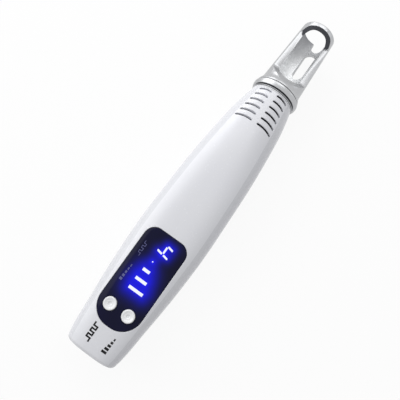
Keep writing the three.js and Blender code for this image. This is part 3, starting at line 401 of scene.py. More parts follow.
displayLight = {
    # what the display shows, as rectangles of x from, x to, y from, y to
    "digit": [
        (61.45, 62.4, -4.73, -1.73), (57.84, 61.4, -1.97, -1.03), (56.85, 57.8, -4.73, -1.88),
        (56.85, 57.8, -1.13, 1.82)
    ],
    "dot": [(51.6, 52.2, -0.05, 0.6)],
    "bars": [(46.05, 47.55, -1.7, 2.2), (40.9, 42.4, -3.5, 2.72), (35.72, 37.22, -5.1, 2.82)],
    "digitMiddle": -1.5, "digitSlant": 0.2,
    "corners": {"digit": 0.35, "dot": 0.3, "bars": 0.12},
    "lift": 0.03,       # how far the lit shapes stand over the window
    "thickness": 0.3,
    "lit": ("#e4e9ff", "#fbfcff"), "cloud": 2, "unlit": "#20202a", "litRough": 0.3,
    "glowReach": 12,    # how far the light of a bar spreads in the window
    # reach of each kind as a share of that, and its strength
    "glow": {"bars": (1, 0.62), "digit": (0.6, 0.42), "dot": (0.6, 0.7)},
    "glowPower": 3.4,
    "glowStops": [(0, "#000008"), (0.08, "#040442"), (0.4, "#0909a2"), (0.95, "#1313f2")],
    "acrylic": ("#090a22", "#0c0e30"), "haze": 9, "rough": 0.12, "specular": 0.12
}


def windowMaterial():
    # Smoked acrylic, moulded and polished: near-black navy that carries the blue light of the display
    material, place = newMaterial("smokedAcrylic")
    total = None
    nothing = (0, 0, 0)
    sources = [(box, *glow) for kind, glow in displayLight["glow"].items() for box in displayLight[kind]]
    for (lowX, highX, lowY, highY), reach, power in sources:
        middle = spot((lowX + highX) / 2, (lowY + highY) / 2, 0)
        half = ((highX - lowX) / 2 * mm, (highY - lowY) / 2 * mm, 1)
        away = place
        for operation, value in (
            ("SUBTRACT", middle), ("ABSOLUTE", nothing), ("SUBTRACT", half), ("MAXIMUM", nothing)
        ):  # how far a point lies outside the lit shape
            away = addNode(
                material, "ShaderNodeVectorMath", {"operation": operation, 1: value}, {0: away}
            ).outputs["Vector"]
        gap = addNode(material, "ShaderNodeVectorMath", {"operation": "LENGTH"}, {0: away}).outputs["Value"]
        near = addNode(material, "ShaderNodeMapRange", {
            "From Max": displayLight["glowReach"] * reach * mm, "To Min": 1, "To Max": 0
        }, {"Value": gap}).outputs[0]
        soft = addNode(
            material, "ShaderNodeMath", {"operation": "POWER", 1: displayLight["glowPower"]}, {0: near}
        ).outputs[0]
        links = {0: soft}
        if total:
            links[2] = total
        total = addNode(
            material, "ShaderNodeMath", {"operation": "MULTIPLY_ADD", 1: power, 2: 0}, links
        ).outputs[0]
    tint = mixColours(material, softNoise(material, place, displayLight["haze"]), *displayLight["acrylic"])
    ramp = addNode(material, "ShaderNodeValToRGB", links={0: total})
    stops = ramp.color_ramp.elements
    stops.remove(stops[1])
    for position, colour in displayLight["glowStops"]:
        stop = stops.new(position) if position else stops[0]
        stop.color = linearColour(colour)
    return principled(material, {
        "Roughness": displayLight["rough"], "IOR": 1.49, "Specular IOR Level": displayLight["specular"],
        "Emission Strength": 1
    }, {"Base Color": tint, "Emission Color": ramp.outputs["Color"]})


def litMaterial():
    # White light-emitting segments, a touch bluer where the diffuser is thin
    material, place = newMaterial("litDiffuser")
    tint = mixColours(material, softNoise(material, place, displayLight["cloud"]), *displayLight["lit"])
    return principled(material, {
        "Base Color": linearColour(displayLight["unlit"]), "Roughness": displayLight["litRough"],
        "Emission Strength": 1
    }, {"Emission Color": tint})


looks["solderMask"] = boardMaterial()
looks["coatedGlass"] = glassMaterial()
looks["smokedAcrylic"] = windowMaterial()
looks["litDiffuser"] = litMaterial()
print("materials ready")

bodySize = {
    "length": 159.7, "halfWidth": 19.15, "top": 14.5, "belly": 15.5, "bellyPlane": -15.1, "nose": 12.5
}
# Place along the body, half width, top and belly as shares, then the exponents of the section
bodyRows = [
    (0, 0.63, 0.6, 0.56, 3, 2.5), (0.005, 0.69, 0.66, 0.65, 3, 2.5), (0.014, 0.725, 0.695, 0.71, 3, 2.5),
    (0.05, 0.78, 0.735, 0.82, 3, 2.5), (0.14, 0.85, 0.8, 0.95, 3, 2.5), (0.2, 0.9, 0.848, 1, 3, 2.5),
    (0.28, 0.952, 0.905, 1, 3, 2.5), (0.42, 1, 0.973, 1, 3, 2.5), (0.56, 0.982, 1, 1, 2.9, 2.5),
    (0.7, 0.948, 0.99, 1, 2.6, 2.4), (0.8, 0.89, 0.978, 1, 2.35, 2.3)
]
# Over the nose: what is left of the swell over its round
noseRows = [
    (0.9, 0.453, 0.65, 0.767, 2.15, 2.1), (0.96, 0.217, 0.435, 0.407, 2.05, 2.05), (1, 0, 0, 0, 2, 2)
]
fullSizes = (bodySize["halfWidth"], bodySize["top"], bodySize["belly"])
rows = [(r[0], *[r[i + 1] * fullSizes[i] for i in range(3)], r[4], r[5]) for r in bodyRows]
rows += [
    (r[0], *[bodySize["nose"] + r[i + 1] * (fullSizes[i] - bodySize["nose"]) for i in range(3)], r[4], r[5])
    for r in noseRows
]


def sectionAt(x):
    # Half width, top, belly and the two exponents at x, by the same smooth curve as the frame's
    share = min(max(x / bodySize["length"], 0), 1)
    i = next((k for k in range(1, len(rows)) if share < rows[k][0]), len(rows) - 1)
    before, low, high, after = rows[max(i - 2, 0)], rows[i - 1], rows[i], rows[min(i + 1, len(rows) - 1)]
    startGap, endGap = low[0] - before[0], after[0] - high[0]
    if i < 2:
        before, startGap = high, low[0] - high[0]
    if i + 1 == len(rows):
        after, endGap = low, low[0] - high[0]
    half = (high[0] - low[0]) / 2
    p = (share - low[0]) / (high[0] - low[0])
    wideStart, wideEnd = half / startGap, half / endGap
    parts = (
        -wideStart * p ** 3 + 2 * wideStart * p ** 2 - wideStart * p,
        (1 + wideStart) * p ** 3 + (-1.5 - 2 * wideStart) * p ** 2 + (-0.5 + wideStart) * p + 1,
        (-1 - wideEnd) * p ** 3 + (1.5 + wideEnd) * p ** 2 + 0.5 * p,
        wideEnd * p ** 3 - wideEnd * p ** 2
    )
    return [
        sum(part * row[k] for part, row in zip(parts, (before, low, high, after))) for k in range(1, 6)
    ]


def topHeight(x, y, inset=0):
    halfWidth, top, _, topPower, _ = sectionAt(x)
    share = min(abs(y) / (halfWidth - inset), 1)
    return (top - inset) * (1 - share ** topPower) ** (1 / topPower)


def bellyHeight(x, y):
    halfWidth, _, belly, _, bellyPower = sectionAt(x)
    share = min(abs(y) / halfWidth, 1)
    return max(-belly * (1 - share ** bellyPower) ** (1 / bellyPower), bodySize["bellyPlane"])


casing = {
    "around": 176,        # points of a ring
    "step": 1.25,         # from ring to ring
    "tailRound": 2.2, "tailSteps": 9,
    "wall": 2.0,
    "seamRise": 0.22,     # height over which the edge at the seam turns in
    "seamTurnIn": 0.14,
    "dishX": 113, "dishLength": 27, "dishWidth": 13, "dishDepth": 1.6, "dishPower": 0.8,
    # faces this deep under the outside get painted shade; in the slots between these two places, on the
    # right when the tip points away from the key lamp, the painted shade comes further up
    "shadeDepth": 1.2, "slotShadeDepth": 0.5, "slotShade": (137, 159.5),
    "outward": 0.3,       # a face whose normal leans out this much belongs to the outside
    "flankShadeStep": 23       # the painted shade on the flank starts this many points of the ring over the seam
}


def skinRing(x, inset):
    halfWidth, top, belly, topPower, bellyPower = sectionAt(max(x, casing["tailRound"]))
    ring = []
    for i in range(casing["around"]):
        angle = i / casing["around"] * 2 * math.pi
        across, up = math.cos(angle), math.sin(angle)
        power = 2 / (bellyPower if up < 0 else topPower)
        y = math.copysign(abs(across) ** power, across) * (halfWidth - inset)
        z = math.copysign(abs(up) ** power, up) * ((belly if up < 0 else top) - inset)
        if abs(up) < nearly:
            z = 0
        z = max(z, bodySize["bellyPlane"] + inset)
        if up < 0:  # a shallow dish for the fingertip round the firing key
            away = math.hypot((x - casing["dishX"]) * 2 / casing["dishLength"], y * 2 / casing["dishWidth"])
            if away < 1:
                z += casing["dishDepth"] * (0.5 + 0.5 * math.cos(math.pi * away)) ** casing["dishPower"]
        ring.append(spot(x, y, z))
    return ring


def casingSkin():
    rings = []
    radius = casing["tailRound"]
    for k in range(casing["tailSteps"]):  # the rounded edge of the tail
        turn = k / casing["tailSteps"] * math.pi / 2
        rings.append(skinRing(radius * (1 - math.cos(turn)), radius * (1 - math.sin(turn))))
    straight = bodySize["length"] - radius
    count = round(straight / casing["step"])
    for k in range(count + 1):
        rings.append(skinRing(radius + k / count * straight, 0))
    skin = ringBody("casing_skin", rings)
    noseX = spot(bodySize["length"], 0, 0).x
    selectParts(skin, "FACE", lambda corners: all(abs(c.x - noseX) < nearly for c in corners))
    bpy.ops.mesh.delete(type="ONLY_FACE")
    objectMode()
    return skin


def halfShell(skin, name, side):
    # Keeps one side of the seam, turns its edge in a little and gives it the wall
    shell = copyOf(skin, name)
    for height, clear in ((seamHalfGap, True), (casing["seamRise"], False)):
        editAll(shell)
        bpy.ops.mesh.bisect(
            plane_co=spot(0, 0, side * height), plane_no=(0, 0, side), clear_inner=clear, use_fill=False
        )
        objectMode()
    edgeHeight = axisHeight + side * seamHalfGap * mm
    for vertex in shell.data.vertices:
        if abs(vertex.co.z - edgeHeight) < nearly:
            vertex.co.y -= math.copysign(min(casing["seamTurnIn"] * mm, abs(vertex.co.y)), vertex.co.y)
    applyModifier(
        shell, "SOLIDIFY", thickness=casing["wall"] * mm, offset=-1, use_even_offset=True,
        use_quality_normals=True
    )
    return shell


def underSkin(point):
    # True where a point lies deeper than the painted shade starts
    x, y, z = inMillimetres(point)
    halfWidth, top, belly, topPower, bellyPower = sectionAt(x)
    height, power = (top, topPower) if z > 0 else (belly, bellyPower)
    inSlots = casing["slotShade"][0] < x < casing["slotShade"][1] and y < 0
    depth = casing["slotShadeDepth"] if inSlots else casing["shadeDepth"]
    return x > depth and (abs(y) / (halfWidth - depth)) ** power + (abs(z) / (height - depth)) ** power < 1


def shadeInside(shell, material):
    # painted shade on the inner faces, seen through the slots
    shell.data.materials.append(material)
    for face in shell.data.polygons:
        outwards = Vector((0, face.center.y, face.center.z - axisHeight)).normalized()
        isOutside = outwards.dot(face.normal) > casing["outward"]
        if not isOutside and all(underSkin(corner) for corner in cornersOf(shell, face)):
            face.material_index = 1


def shadeFlanks(shell, material):
    # Painted shade on the outside beyond a crisp line along each shoulder
    shell.data.materials.append(material)
    radius = casing["tailRound"]
    turn = casing["flankShadeStep"] / casing["around"] * 2 * math.pi
    for face in shell.data.polygons:
        x, y, _ = inMillimetres(face.center)
        inset = radius - math.sqrt(radius ** 2 - (radius - max(x, 0)) ** 2) if x < radius else 0
        halfWidth, _, _, topPower, _ = sectionAt(max(x, radius))
        flankY = (halfWidth - inset) * math.cos(turn) ** (2 / topPower)
        if face.material_index == 0 and abs(y) > flankY:
            face.material_index = len(shell.data.materials) - 1


def stadiumRing(x, y, length, width, height, steps, onSides=0, arch=0, bulge=0):
    # height is a number, or a function of x and y; onSides counts the points on each straight side.
    # arch bends a slot round the pen's middle line, bulge pushes its own middle towards the tip
    radius = min(length, width) / 2
    reach = max(length, width) / 2 - radius
    ring = []
    for side in (1, -1):
        flat = []
        for k in range(steps * 2):
            turn = (k / (steps * 2 - 1) - 0.5) * math.pi
            flat.append((reach + radius * math.cos(turn), radius * math.sin(turn)))
        flat += [(reach * (1 - 2 * (k + 1) / (onSides + 1)), radius) for k in range(onSides)]
        for along, across in flat:
            px, py = x + side * along, y + side * across
            if length < width:
                px, py = x - side * across, y + side * along
            px += bulge * (1 - ((py - y) / (reach + radius)) ** 2) - arch * py * py
            ring.append(spot(px, py, height(px, py) if callable(height) else height))
    return ring


vents = {
    "rows": 6, "pitch": 3.9, "tipRoom": 1.3, "width": 1.05, "innerY": 1.6, "tailY": 10.8, "tipY": 8.3,
    "arch": 0.008, "bulge": 0.37, "steps": 8, "onSides": 6,
    "clear": 1,           # how far the cutters stay from the seam
    # how far each ring of the cutter stands over the surface, and how much wider than the slot it is
    "rings": [(1.4, 0.24), (0.02, 0.2), (-0.08, 0.09), (-0.22, 0.02), (-0.6, 0), (-3.6, 0)]
}


def ventCutters(side):
    cutters = []
    for row in range(vents["rows"]):
        x = bodySize["length"] - vents["tipRoom"] - (vents["rows"] - 1 - row) * vents["pitch"]
        outer = vents["tailY"] + (vents["tipY"] - vents["tailY"]) * row / (vents["rows"] - 1)
        for across in (-1, 1):
            middle, reach = across * (vents["innerY"] + outer) / 2, outer - vents["innerY"]
            rings = []
            for lift, grow in vents["rings"]:
                def height(px, py):
                    over = topHeight(px, py) if side > 0 else -bellyHeight(px, py)
                    return side * max(over + lift, vents["clear"])
                rings.append(stadiumRing(
                    x, middle, vents["width"] + 2 * grow, reach + 2 * grow, height, vents["steps"],
                    vents["onSides"], vents["arch"], vents["bulge"]
                ))
            cutters.append(ringBody("vent_cutter", rings))
    return cutters


window = {
    "start": 16.1, "length": 50.5, "width": 23.2, "tipRadius": 5.6, "tailRadius": 10.4, "thickness": 1.6,
    "sink": 0.12, "grow": 0.16, "edge": 0.3, "edgeSteps": 3, "buttonHole": 3.55, "holeTop": 20,
    "holeSides": 64, "perCorner": 22, "spacing": 1.5,
    "drape": (0.96, 0.9, 0.82, 0.72, 0.6, 0.46, 0.3, 0.15, 0),    # sizes of the rings on its face
    # how far each ring of the cutter stands over the surface, and how much wider than the window it is
    "cutter": [(1.5, 0.55), (0.02, 0.5), (-0.12, 0.34), (-0.32, 0.27), (-0.6, 0.26), (-4, 0.26)]
}


def windowRing(grow, height, shrink=1):
    low, high = window["start"] - grow, window["start"] + window["length"] + grow
    side = window["width"] / 2 + grow
    tail, tip = window["tailRadius"] + grow, window["tipRadius"] + grow
    corners = [
        (high - tip, side - tip, tip, 0), (low + tail, side - tail, tail, 1),
        (low + tail, tail - side, tail, 2), (high - tip, tip - side, tip, 3)
    ]
    middleX = (low + high) / 2
    flat = []
    for cx, cy, radius, quarter in corners:
        for k in range(window["perCorner"]):
            turn = (quarter + k / (window["perCorner"] - 1)) * math.pi / 2
            flat.append((cx + radius * math.cos(turn), cy + radius * math.sin(turn)))
    # the long sides get points of their own, so that the drape follows the casing
    dense = []
    for (ax, ay), (bx, by) in zip(flat, flat[1:] + flat[:1]):
        parts = max(1, round(math.hypot(bx - ax, by - ay) / window["spacing"]))
        dense += [(ax + (bx - ax) * k / parts, ay + (by - ay) * k / parts) for k in range(parts)]
    dense = dense[:len(dense) - len(dense) % 4]
    ring = []
    for x, y in dense:
        px, py = middleX + (x - middleX) * shrink, y * shrink
        ring.append(spot(px, py, height(px, py)))
    return ring


def evenRings(name, rings):
    # The same number of points in each ring
    count = min(len(ring) for ring in rings)
    return ringBody(name, [ring[:count] for ring in rings])


def windowCutter():
    return evenRings("window_cutter", [
        windowRing(grow, lambda x, y: topHeight(x, y) + lift) for lift, grow in window["cutter"]
    ])


shellScrewPlaces = [(7.4, -9.36), (7.4, 9.36), (95, -13.19), (95, 13.19)]
screwWell = {
    "radius": 2.3, "floor": -5.5, "wall": 0.6, "hole": 1.3, "pad": 1.2, "round": 0.2, "steps": 12,
    "sides": 40,
    "mouth": 0.75         # the sleeve starts this share of the wall above the belly
}


def wellCutter(x, y):
    # Its mouth follows the belly with the same small round as the vents
    steps = screwWell["steps"]
    rings = []
    for lift, grow in vents["rings"][:-1]:
        across = 2 * (screwWell["radius"] + grow)
        rings.append(stadiumRing(x, y, across, across, lambda px, py: bellyHeight(px, py) - lift, steps))
    across = 2 * screwWell["radius"]
    rings.append(stadiumRing(x, y, across, across, screwWell["floor"], steps))
    return ringBody("well_cutter", rings)


trigger = {
    "x": 113, "length": 17, "width": 9, "face": -14.7, "gap": 0.3, "steps": 12,
    "flangeLow": -10.9, "flangeTop": -9.9, "flangeGrow": 1.1,
    # height over the face, and how much wider than the key: the crowned face and its rounded edge
    "crown": [(0.12, -3.9), (0.06, -2.9), (0, -1.9), (0.03, -1.2), (0.16, -0.6), (0.4, -0.18), (0.8, 0)],
    # height over the dish, and how much wider than the hole: its rounded mouth
    "mouth": [(-0.6, 0.5), (-0.1, 0.15), (0.4, 0)], "holeLow": -18, "holeTop": -9, "holeSteps": 10
}


def triggerBody(name, levels, gap, steps):
    # levels are heights, and how much wider the body is there than the key with its gap
    length, width = trigger["length"] + 2 * gap, trigger["width"] + 2 * gap
    return ringBody(name, [
        stadiumRing(trigger["x"], 0, length + 2 * grow, width + 2 * grow, height, steps)
        for height, grow in levels
    ])


def triggerCutter():
    surface = casing["dishDepth"] + bodySize["bellyPlane"]
    levels = [(surface + rise, grow) for rise, grow in trigger["mouth"]]
    levels = [(trigger["holeLow"], levels[0][1])] + levels + [(trigger["holeTop"], 0)]
    return triggerBody("trigger_cutter", levels, trigger["gap"], trigger["holeSteps"])


inlet = {
    "height": -0.8, "bezel": 4.4, "gap": 0.25, "socket": 3.2, "depth": 9.6, "proud": 0.4, "rim": 0.15,
    "innerRound": 0.25, "outerRound": 0.3, "socketStart": 0.2, "collarStart": 2.9, "collarRadius": 5.4,
    "end": 12.5, "seat": 1.4, "cutStart": -3, "cutEnd": 5, "sides": 64,
    "pin": 1.05, "pinStart": 1, "pinTip": 0.5, "pinTaper": 0.15, "pinRound": 0.35, "pinEnd": 12.3,
    "pinSides": 32
}


def inletCutter():
    start, end = pick(inlet, "cutStart cutEnd")
    radius = inlet["bezel"] + inlet["gap"]
    outline = [(start, 0), (start, radius), (end, radius), (end, 0)]
    return turnedAlong("inlet_cutter", outline, inlet["sides"], inlet["height"])


skin = casingSkin()
frontShell = halfShell(skin, "display_side_shell", 1)
backShell = halfShell(skin, "belly_side_shell", -1)
bpy.data.objects.remove(skin)
cutAway(frontShell, joinAll("front_cutters", [windowCutter(), inletCutter()] + ventCutters(1)))
wellCutters = [wellCutter(x, y) for x, y in shellScrewPlaces]
backCutters = wellCutters + [triggerCutter(), inletCutter()] + ventCutters(-1)
cutAway(backShell, joinAll("back_cutters", backCutters))
finishPiece(frontShell, "casing", looks["polishedAbs"], ["front_shell"])
# the belly side shell takes the painted shade all over
finishPiece(backShell, "casing", looks["shadedAbs"], ["back_shell"])
# painted shade inside both shells
for shell in (frontShell, backShell):
    shadeInside(shell, looks["insideShade"])
# painted shade on both flanks of the display side shell
shadeFlanks(frontShell, looks["shadedAbs"])


def screwSleeve(x, y):
    radius, wall, hole, floor = pick(screwWell, "radius wall hole floor")
    start = bodySize["bellyPlane"]
    sleeve = turnedUpright("screw_sleeve", x, y, [
        (radius, start), (radius + wall, start), (radius + wall, floor + screwWell["pad"]),
        (hole, floor + screwWell["pad"]), (hole, floor), (radius, floor, screwWell["round"])
    ], screwWell["sides"], closed=True)
    for vertex in sleeve.data.vertices:  # the mouth starts inside the wall, wherever the belly is
        sx, sy, sz = inMillimetres(vertex.co)
        if sz < start + nearly / mm:
            vertex.co.z = spot(0, 0, bellyHeight(sx, sy) + screwWell["mouth"] * casing["wall"]).z
    return sleeve


sleeves = [screwSleeve(x, y) for x, y in shellScrewPlaces]
# the sleeves take the same painted shade as the belly side shell
finishPiece(joinAll("screw_sleeves", sleeves), "casing", looks["shadedAbs"])
print("casing ready")


def windowPane():
    # From its underside up: the side, the rounded edge, then smaller and smaller rings over its face
    sink, grow, edge, steps = pick(window, "sink grow edge edgeSteps")
    rings = [windowRing(grow, lambda x, y: topHeight(x, y) - sink - window["thickness"])]
    rings.append(windowRing(grow, lambda x, y: topHeight(x, y) - sink - edge))
    for k in range(1, steps + 1):
        turn = k / steps * math.pi / 2
        drop = edge * (1 - math.sin(turn))
        inward = edge * (1 - math.cos(turn))
        rings.append(windowRing(grow - inward, lambda x, y: topHeight(x, y) - sink - drop))
    for shrink in window["drape"]:
        rings.append(windowRing(grow - edge, lambda x, y: topHeight(x, y) - sink, shrink))
    return evenRings("window_pane", rings)


def holeCutter(x, y):
    radius, top, sides = pick(window, "buttonHole holeTop holeSides")
    return turnedUpright("hole_cutter", x, y, [(0, 0), (radius, 0), (radius, top), (0, top)], sides)


buttonPlaces = {"frequency": (25, 5.25), "intensity": (25, -5.25)}
pane = windowPane()
cutAway(pane, joinAll("hole_cutters", [holeCutter(x, y) for x, y in buttonPlaces.values()]))
finishPiece(pane, "casing", looks["smokedAcrylic"], ["display_window"])


def drapedBar(name, box, lift, thickness, inset, corner, cuts=3, slant=0):
    # A flat bar with cut corners that lies on the casing's surface, drawn in by inset
    lowX, highX, lowY, highY = box
    deselectAll()
    bpy.ops.mesh.primitive_cube_add(size=1, location=(0, 0, 0))
    bar = bpy.context.object
    bar.name = name
    bar.scale = (highX - lowX, highY - lowY, 1)
    bpy.ops.object.transform_apply(location=True, rotation=True, scale=True)
    if corner:
        selectParts(bar, "EDGE", isUpright)
        bpy.ops.mesh.bevel(offset=corner, segments=3, affect="EDGES")
        objectMode()
    for share in range(1, cuts + 1):  # cross cuts, so that the bar can follow the curve
        editAll(bar)
        place = -0.5 + share / (cuts + 1)
        bpy.ops.mesh.bisect(plane_co=(0, place * (highY - lowY), 0), plane_no=(0, 1, 0))
        objectMode()
    for vertex in bar.data.vertices:
        x, y = vertex.co.x + (lowX + highX) / 2, vertex.co.y + (lowY + highY) / 2
        x += slant * (y - displayLight["digitMiddle"])
        over = lift if vertex.co.z > 0 else lift - thickness
        vertex.co = spot(x, y, topHeight(x, y, inset) + over)
    cleanMesh(bar)
    return bar


litBars = []
lift, thickness = pick(displayLight, "lift thickness")
for kind, corner in displayLight["corners"].items():
    slant = displayLight["digitSlant"] if kind == "digit" else 0
    for box in displayLight[kind]:
        litBars.append(drapedBar("lit_bar", box, lift, thickness, window["sink"], corner, slant=slant))
finishPiece(joinAll("lit_display", litBars), "casing", looks["litDiffuser"])

# Plain pictograms: a square pulse for how often, rising bars for how much
printShape = {
    "lift": 0.025, "thickness": 0.2, "pulseSteps": 6, "bars": 5,
    "barShare": 0.68,     # width of a bar, as a share of the step from bar to bar
    "lowBar": 0.28, "barRise": 0.18
}
prints = {
    # ink, tail end, side, length and width of each; a pulse has the width of its line too
    "frequency_print": ("printedInk", 5.2, 3.0, 8.8, 2.9, 0.8),
    "intensity_print": ("printedInk", 5.2, -6.9, 8.8, 2.7),
    "frequency_caption": ("fadedInk", 50.5, 7.4, 7.5, 1.5, 0.25),
    "intensity_caption": ("fadedInk", 36.5, 7.4, 9.5, 1.5)
}


def pulseBoxes(x, y, length, width, line):
    step = length / printShape["pulseSteps"]
    boxes = []
    for k in range(printShape["pulseSteps"]):
        low = x + k * step
        level = y + (width - line if k % 2 else 0)
        boxes.append((low, low + step + line, level, level + line))
        if k:
            boxes.append((low, low + line, y, y + width))
    return boxes


def risingBoxes(x, y, length, width):
    step = length / printShape["bars"]
    boxes = []
    for k in range(printShape["bars"]):
        low = x + length - (k + 1) * step
        high = y + width * (printShape["lowBar"] + printShape["barRise"] * k)
        boxes.append((low, low + printShape["barShare"] * step, y, high))
    return boxes


lift, thickness = pick(printShape, "lift thickness")
for name, (ink, *sizes) in prints.items():
    onGlass = ink == "fadedInk"
    inset = window["sink"] if onGlass else 0
    boxes = pulseBoxes(*sizes) if len(sizes) > 4 else risingBoxes(*sizes)
    strokes = [drapedBar("stroke", box, lift, thickness, inset, 0, 1) for box in boxes]
    finishPiece(joinAll(name, strokes), "casing", looks[ink])
print("window ready")

key = {
    "radius": 3.22, "proud": 1.0, "edge": 0.45, "rim": 2.5, "rimRound": 0.35, "flange": 4.1,
    "flangeHeight": 0.7, "pocket": 1.9, "pocketDepth": 0.2, "sides": 72,
    # the dished top and its dimple, from the rim inwards: radius, height over the rim, round
    "bowl": [(1.6, -0.42, 0.4), (1.0, -0.44, 0.12), (0.8, -0.95, 0.12), (0, -1.0)]
}
keyTop = topHeight(*buttonPlaces["frequency"], window["sink"]) + key["proud"]
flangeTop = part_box("frequency_button")[0].z / mm - axisHeight / mm + key["flangeHeight"]


def roundKey(name, x, y):
    radius, flange, pocket = pick(key, "radius flange pocket")
    low = flangeTop - key["flangeHeight"]
    floor = low + key["pocketDepth"]
    return turnedUpright(name, x, y, [
        (0, floor), (pocket, floor), (pocket, low), (flange, low), (flange, flangeTop), (radius, flangeTop),
        (radius, keyTop, key["edge"]), (key["rim"], keyTop, key["rimRound"]),
        *((reach, keyTop + rise, *corner) for reach, rise, *corner in key["bowl"])
    ], key["sides"])


for name, (x, y) in buttonPlaces.items():
    piece = roundKey(name + "_key_cap", x, y)
    finishPiece(piece, name + "_key", looks["lacqueredAbs"], [name + "_button"])
print("keys ready")


def firingKey():
    # From the outer face inwards: a crowned face, the rounded edge, the stem and the flange
    low, top, flange = pick(trigger, "flangeLow flangeTop flangeGrow")
    levels = [(trigger["face"] + rise, grow) for rise, grow in trigger["crown"]]
    levels += [(low, 0), (low, flange), (top, flange)]
    return triggerBody("firing_key_cap", levels, 0, trigger["steps"])


finishPiece(firingKey(), "trigger_key", looks["softTouchAbs"], ["trigger_button"])


def inletBody():
    proud, bezel, collarStart, collar = pick(inlet, "proud bezel collarStart collarRadius")
    socket, depth, seat, end = pick(inlet, "socket depth seat end")
    return turnedAlong("power_inlet", [
        (-proud, socket + inlet["rim"], inlet["innerRound"]), (-proud, bezel, inlet["outerRound"]),
        (collarStart, bezel), (collarStart, collar), (end, collar), (end, seat), (depth, seat),
        (depth, socket), (inlet["socketStart"], socket)
    ], inlet["sides"], inlet["height"], closed=True)


def inletPin():
    start, end, radius = pick(inlet, "pinStart pinEnd pin")
    return turnedAlong("inlet_pin", [
        (start, 0), (start, inlet["pinTip"]), (start + inlet["pinTaper"], radius, inlet["pinRound"]),
        (end, radius), (end, 0)
    ], inlet["pinSides"], inlet["height"])


finishPiece(inletBody(), "casing", looks["mouldedPbt"], ["dc_jack"])
finishPiece(inletPin(), "casing", looks["platedNickel"])
print("inlet ready")

screwSize = {
    "head": 2.0, "headHeight": 1.4, "shank": 1.0, "length": 10.2, "headTop": -5.8, "sides": 36,
    "crown": 0.9, "crownDrop": 0.25, "crownRound": 0.45, "point": 0.4, "pointLength": 0.2,
    "recess": (2.3, 0.46, 1.5)
}


def crossScrew(name):
    # Pan head with a cross recess, its underside at the floor of the well
    base, head, shank, point = pick(screwSize, "headTop head shank point")
    low, end = base - screwSize["headHeight"], base + screwSize["length"]
    tip = end + screwSize["pointLength"]
    screw = turnedUpright(name, 0, 0, [
        (0, low), (screwSize["crown"], low), (head, low + screwSize["crownDrop"], screwSize["crownRound"]),
        (head, base), (shank, base), (shank, end), (point, tip), (0, tip)
    ], screwSize["sides"])
    arms = []
    for turn in (0, 90):
        deselectAll()
        bpy.ops.mesh.primitive_cube_add(size=1, location=spot(0, 0, low))
        arm = bpy.context.object
        arm.scale = [side * mm for side in screwSize["recess"]]
        arm.rotation_euler = (0, 0, math.radians(turn))
        bpy.ops.object.transform_apply(location=True, rotation=True, scale=True)
        arms.append(arm)
    for arm in arms:
        cutAway(screw, arm)
    return screw


firstScrew = crossScrew("casing_screw")
for i, (x, y) in enumerate(shellScrewPlaces):
    piece = copyOf(firstScrew, "casing_screw_" + str(i + 1))
    piece.location = Vector((x * mm, y * mm, 0))
    finishPiece(piece, "casing", looks["platedSteel"], ["shell_screw_" + str(i + 1)])
bpy.data.objects.remove(firstScrew)
print("screws ready")

gasketSize = {"start": 159.85, "end": 160.65, "inner": 10.5, "outer": 12.45, "round": 0.15, "sides": 96}


def gasketRing():
    start, end, inner, outer, corner = pick(gasketSize, "start end inner outer round")
    outline = [(start, inner), (start, outer, corner), (end, outer, corner), (end, inner)]
    return turnedAlong("gasket_ring", outline, gasketSize["sides"], closed=True)


finishPiece(gasketRing(), "casing", looks["siliconeRubber"], ["nose_gasket"])

collarSize = {
    "start": 153.8, "bore": 7.2, "radius": 10.85, "lipEnd": 155.8, "lipRound": 0.3,
    "neck": 10.2, "threadStart": 157.3, "thread": 9.3, "end": 165, "sides": 128,
    # x, radius and round of the narrow ring before the groove, and of the swell behind it
    "ring": [(160.8, 12.8, 0.1), (161.0, 12.88, 0.08)],
    "grooveStart": 161.08, "grooveEnd": 161.74, "grooveFloor": 12.1,
    "swell": [(161.84, 13.25, 0.12), (162.6, 13.66, 0.5), (164.3, 13.9, 0.55), (165, 13.5, 0.3)]
}


def collarRing():
    start, bore, radius, lipEnd, corner = pick(collarSize, "start bore radius lipEnd lipRound")
    neck, threadStart, thread, end = pick(collarSize, "neck threadStart thread end")
    grooveStart, grooveEnd, floor = pick(collarSize, "grooveStart grooveEnd grooveFloor")
    ring, swell = pick(collarSize, "ring swell")
    return turnedAlong("collar_ring", [
        (start, bore), (start, radius, corner), (lipEnd, radius, corner), (lipEnd, neck),
        (ring[0][0], neck), *ring, (grooveStart, floor), (grooveEnd, floor), *swell,
        (end, thread), (threadStart, thread), (threadStart, bore)
    ], collarSize["sides"], closed=True)


collar = collarRing()
finishPiece(collar, "casing", looks["satinAluminium"], ["nozzle_collar"])
collar.data.materials.append(looks["shadedAluminium"])
for face in collar.data.polygons:  # painted shade on the groove's floor
    x, y, z = inMillimetres(face.center)
    offFloor = abs(math.hypot(y, z) - collarSize["grooveFloor"])
    if collarSize["grooveStart"] < x < collarSize["grooveEnd"] and offFloor < collarSize["ring"][0][2]:
        face.material_index = 1

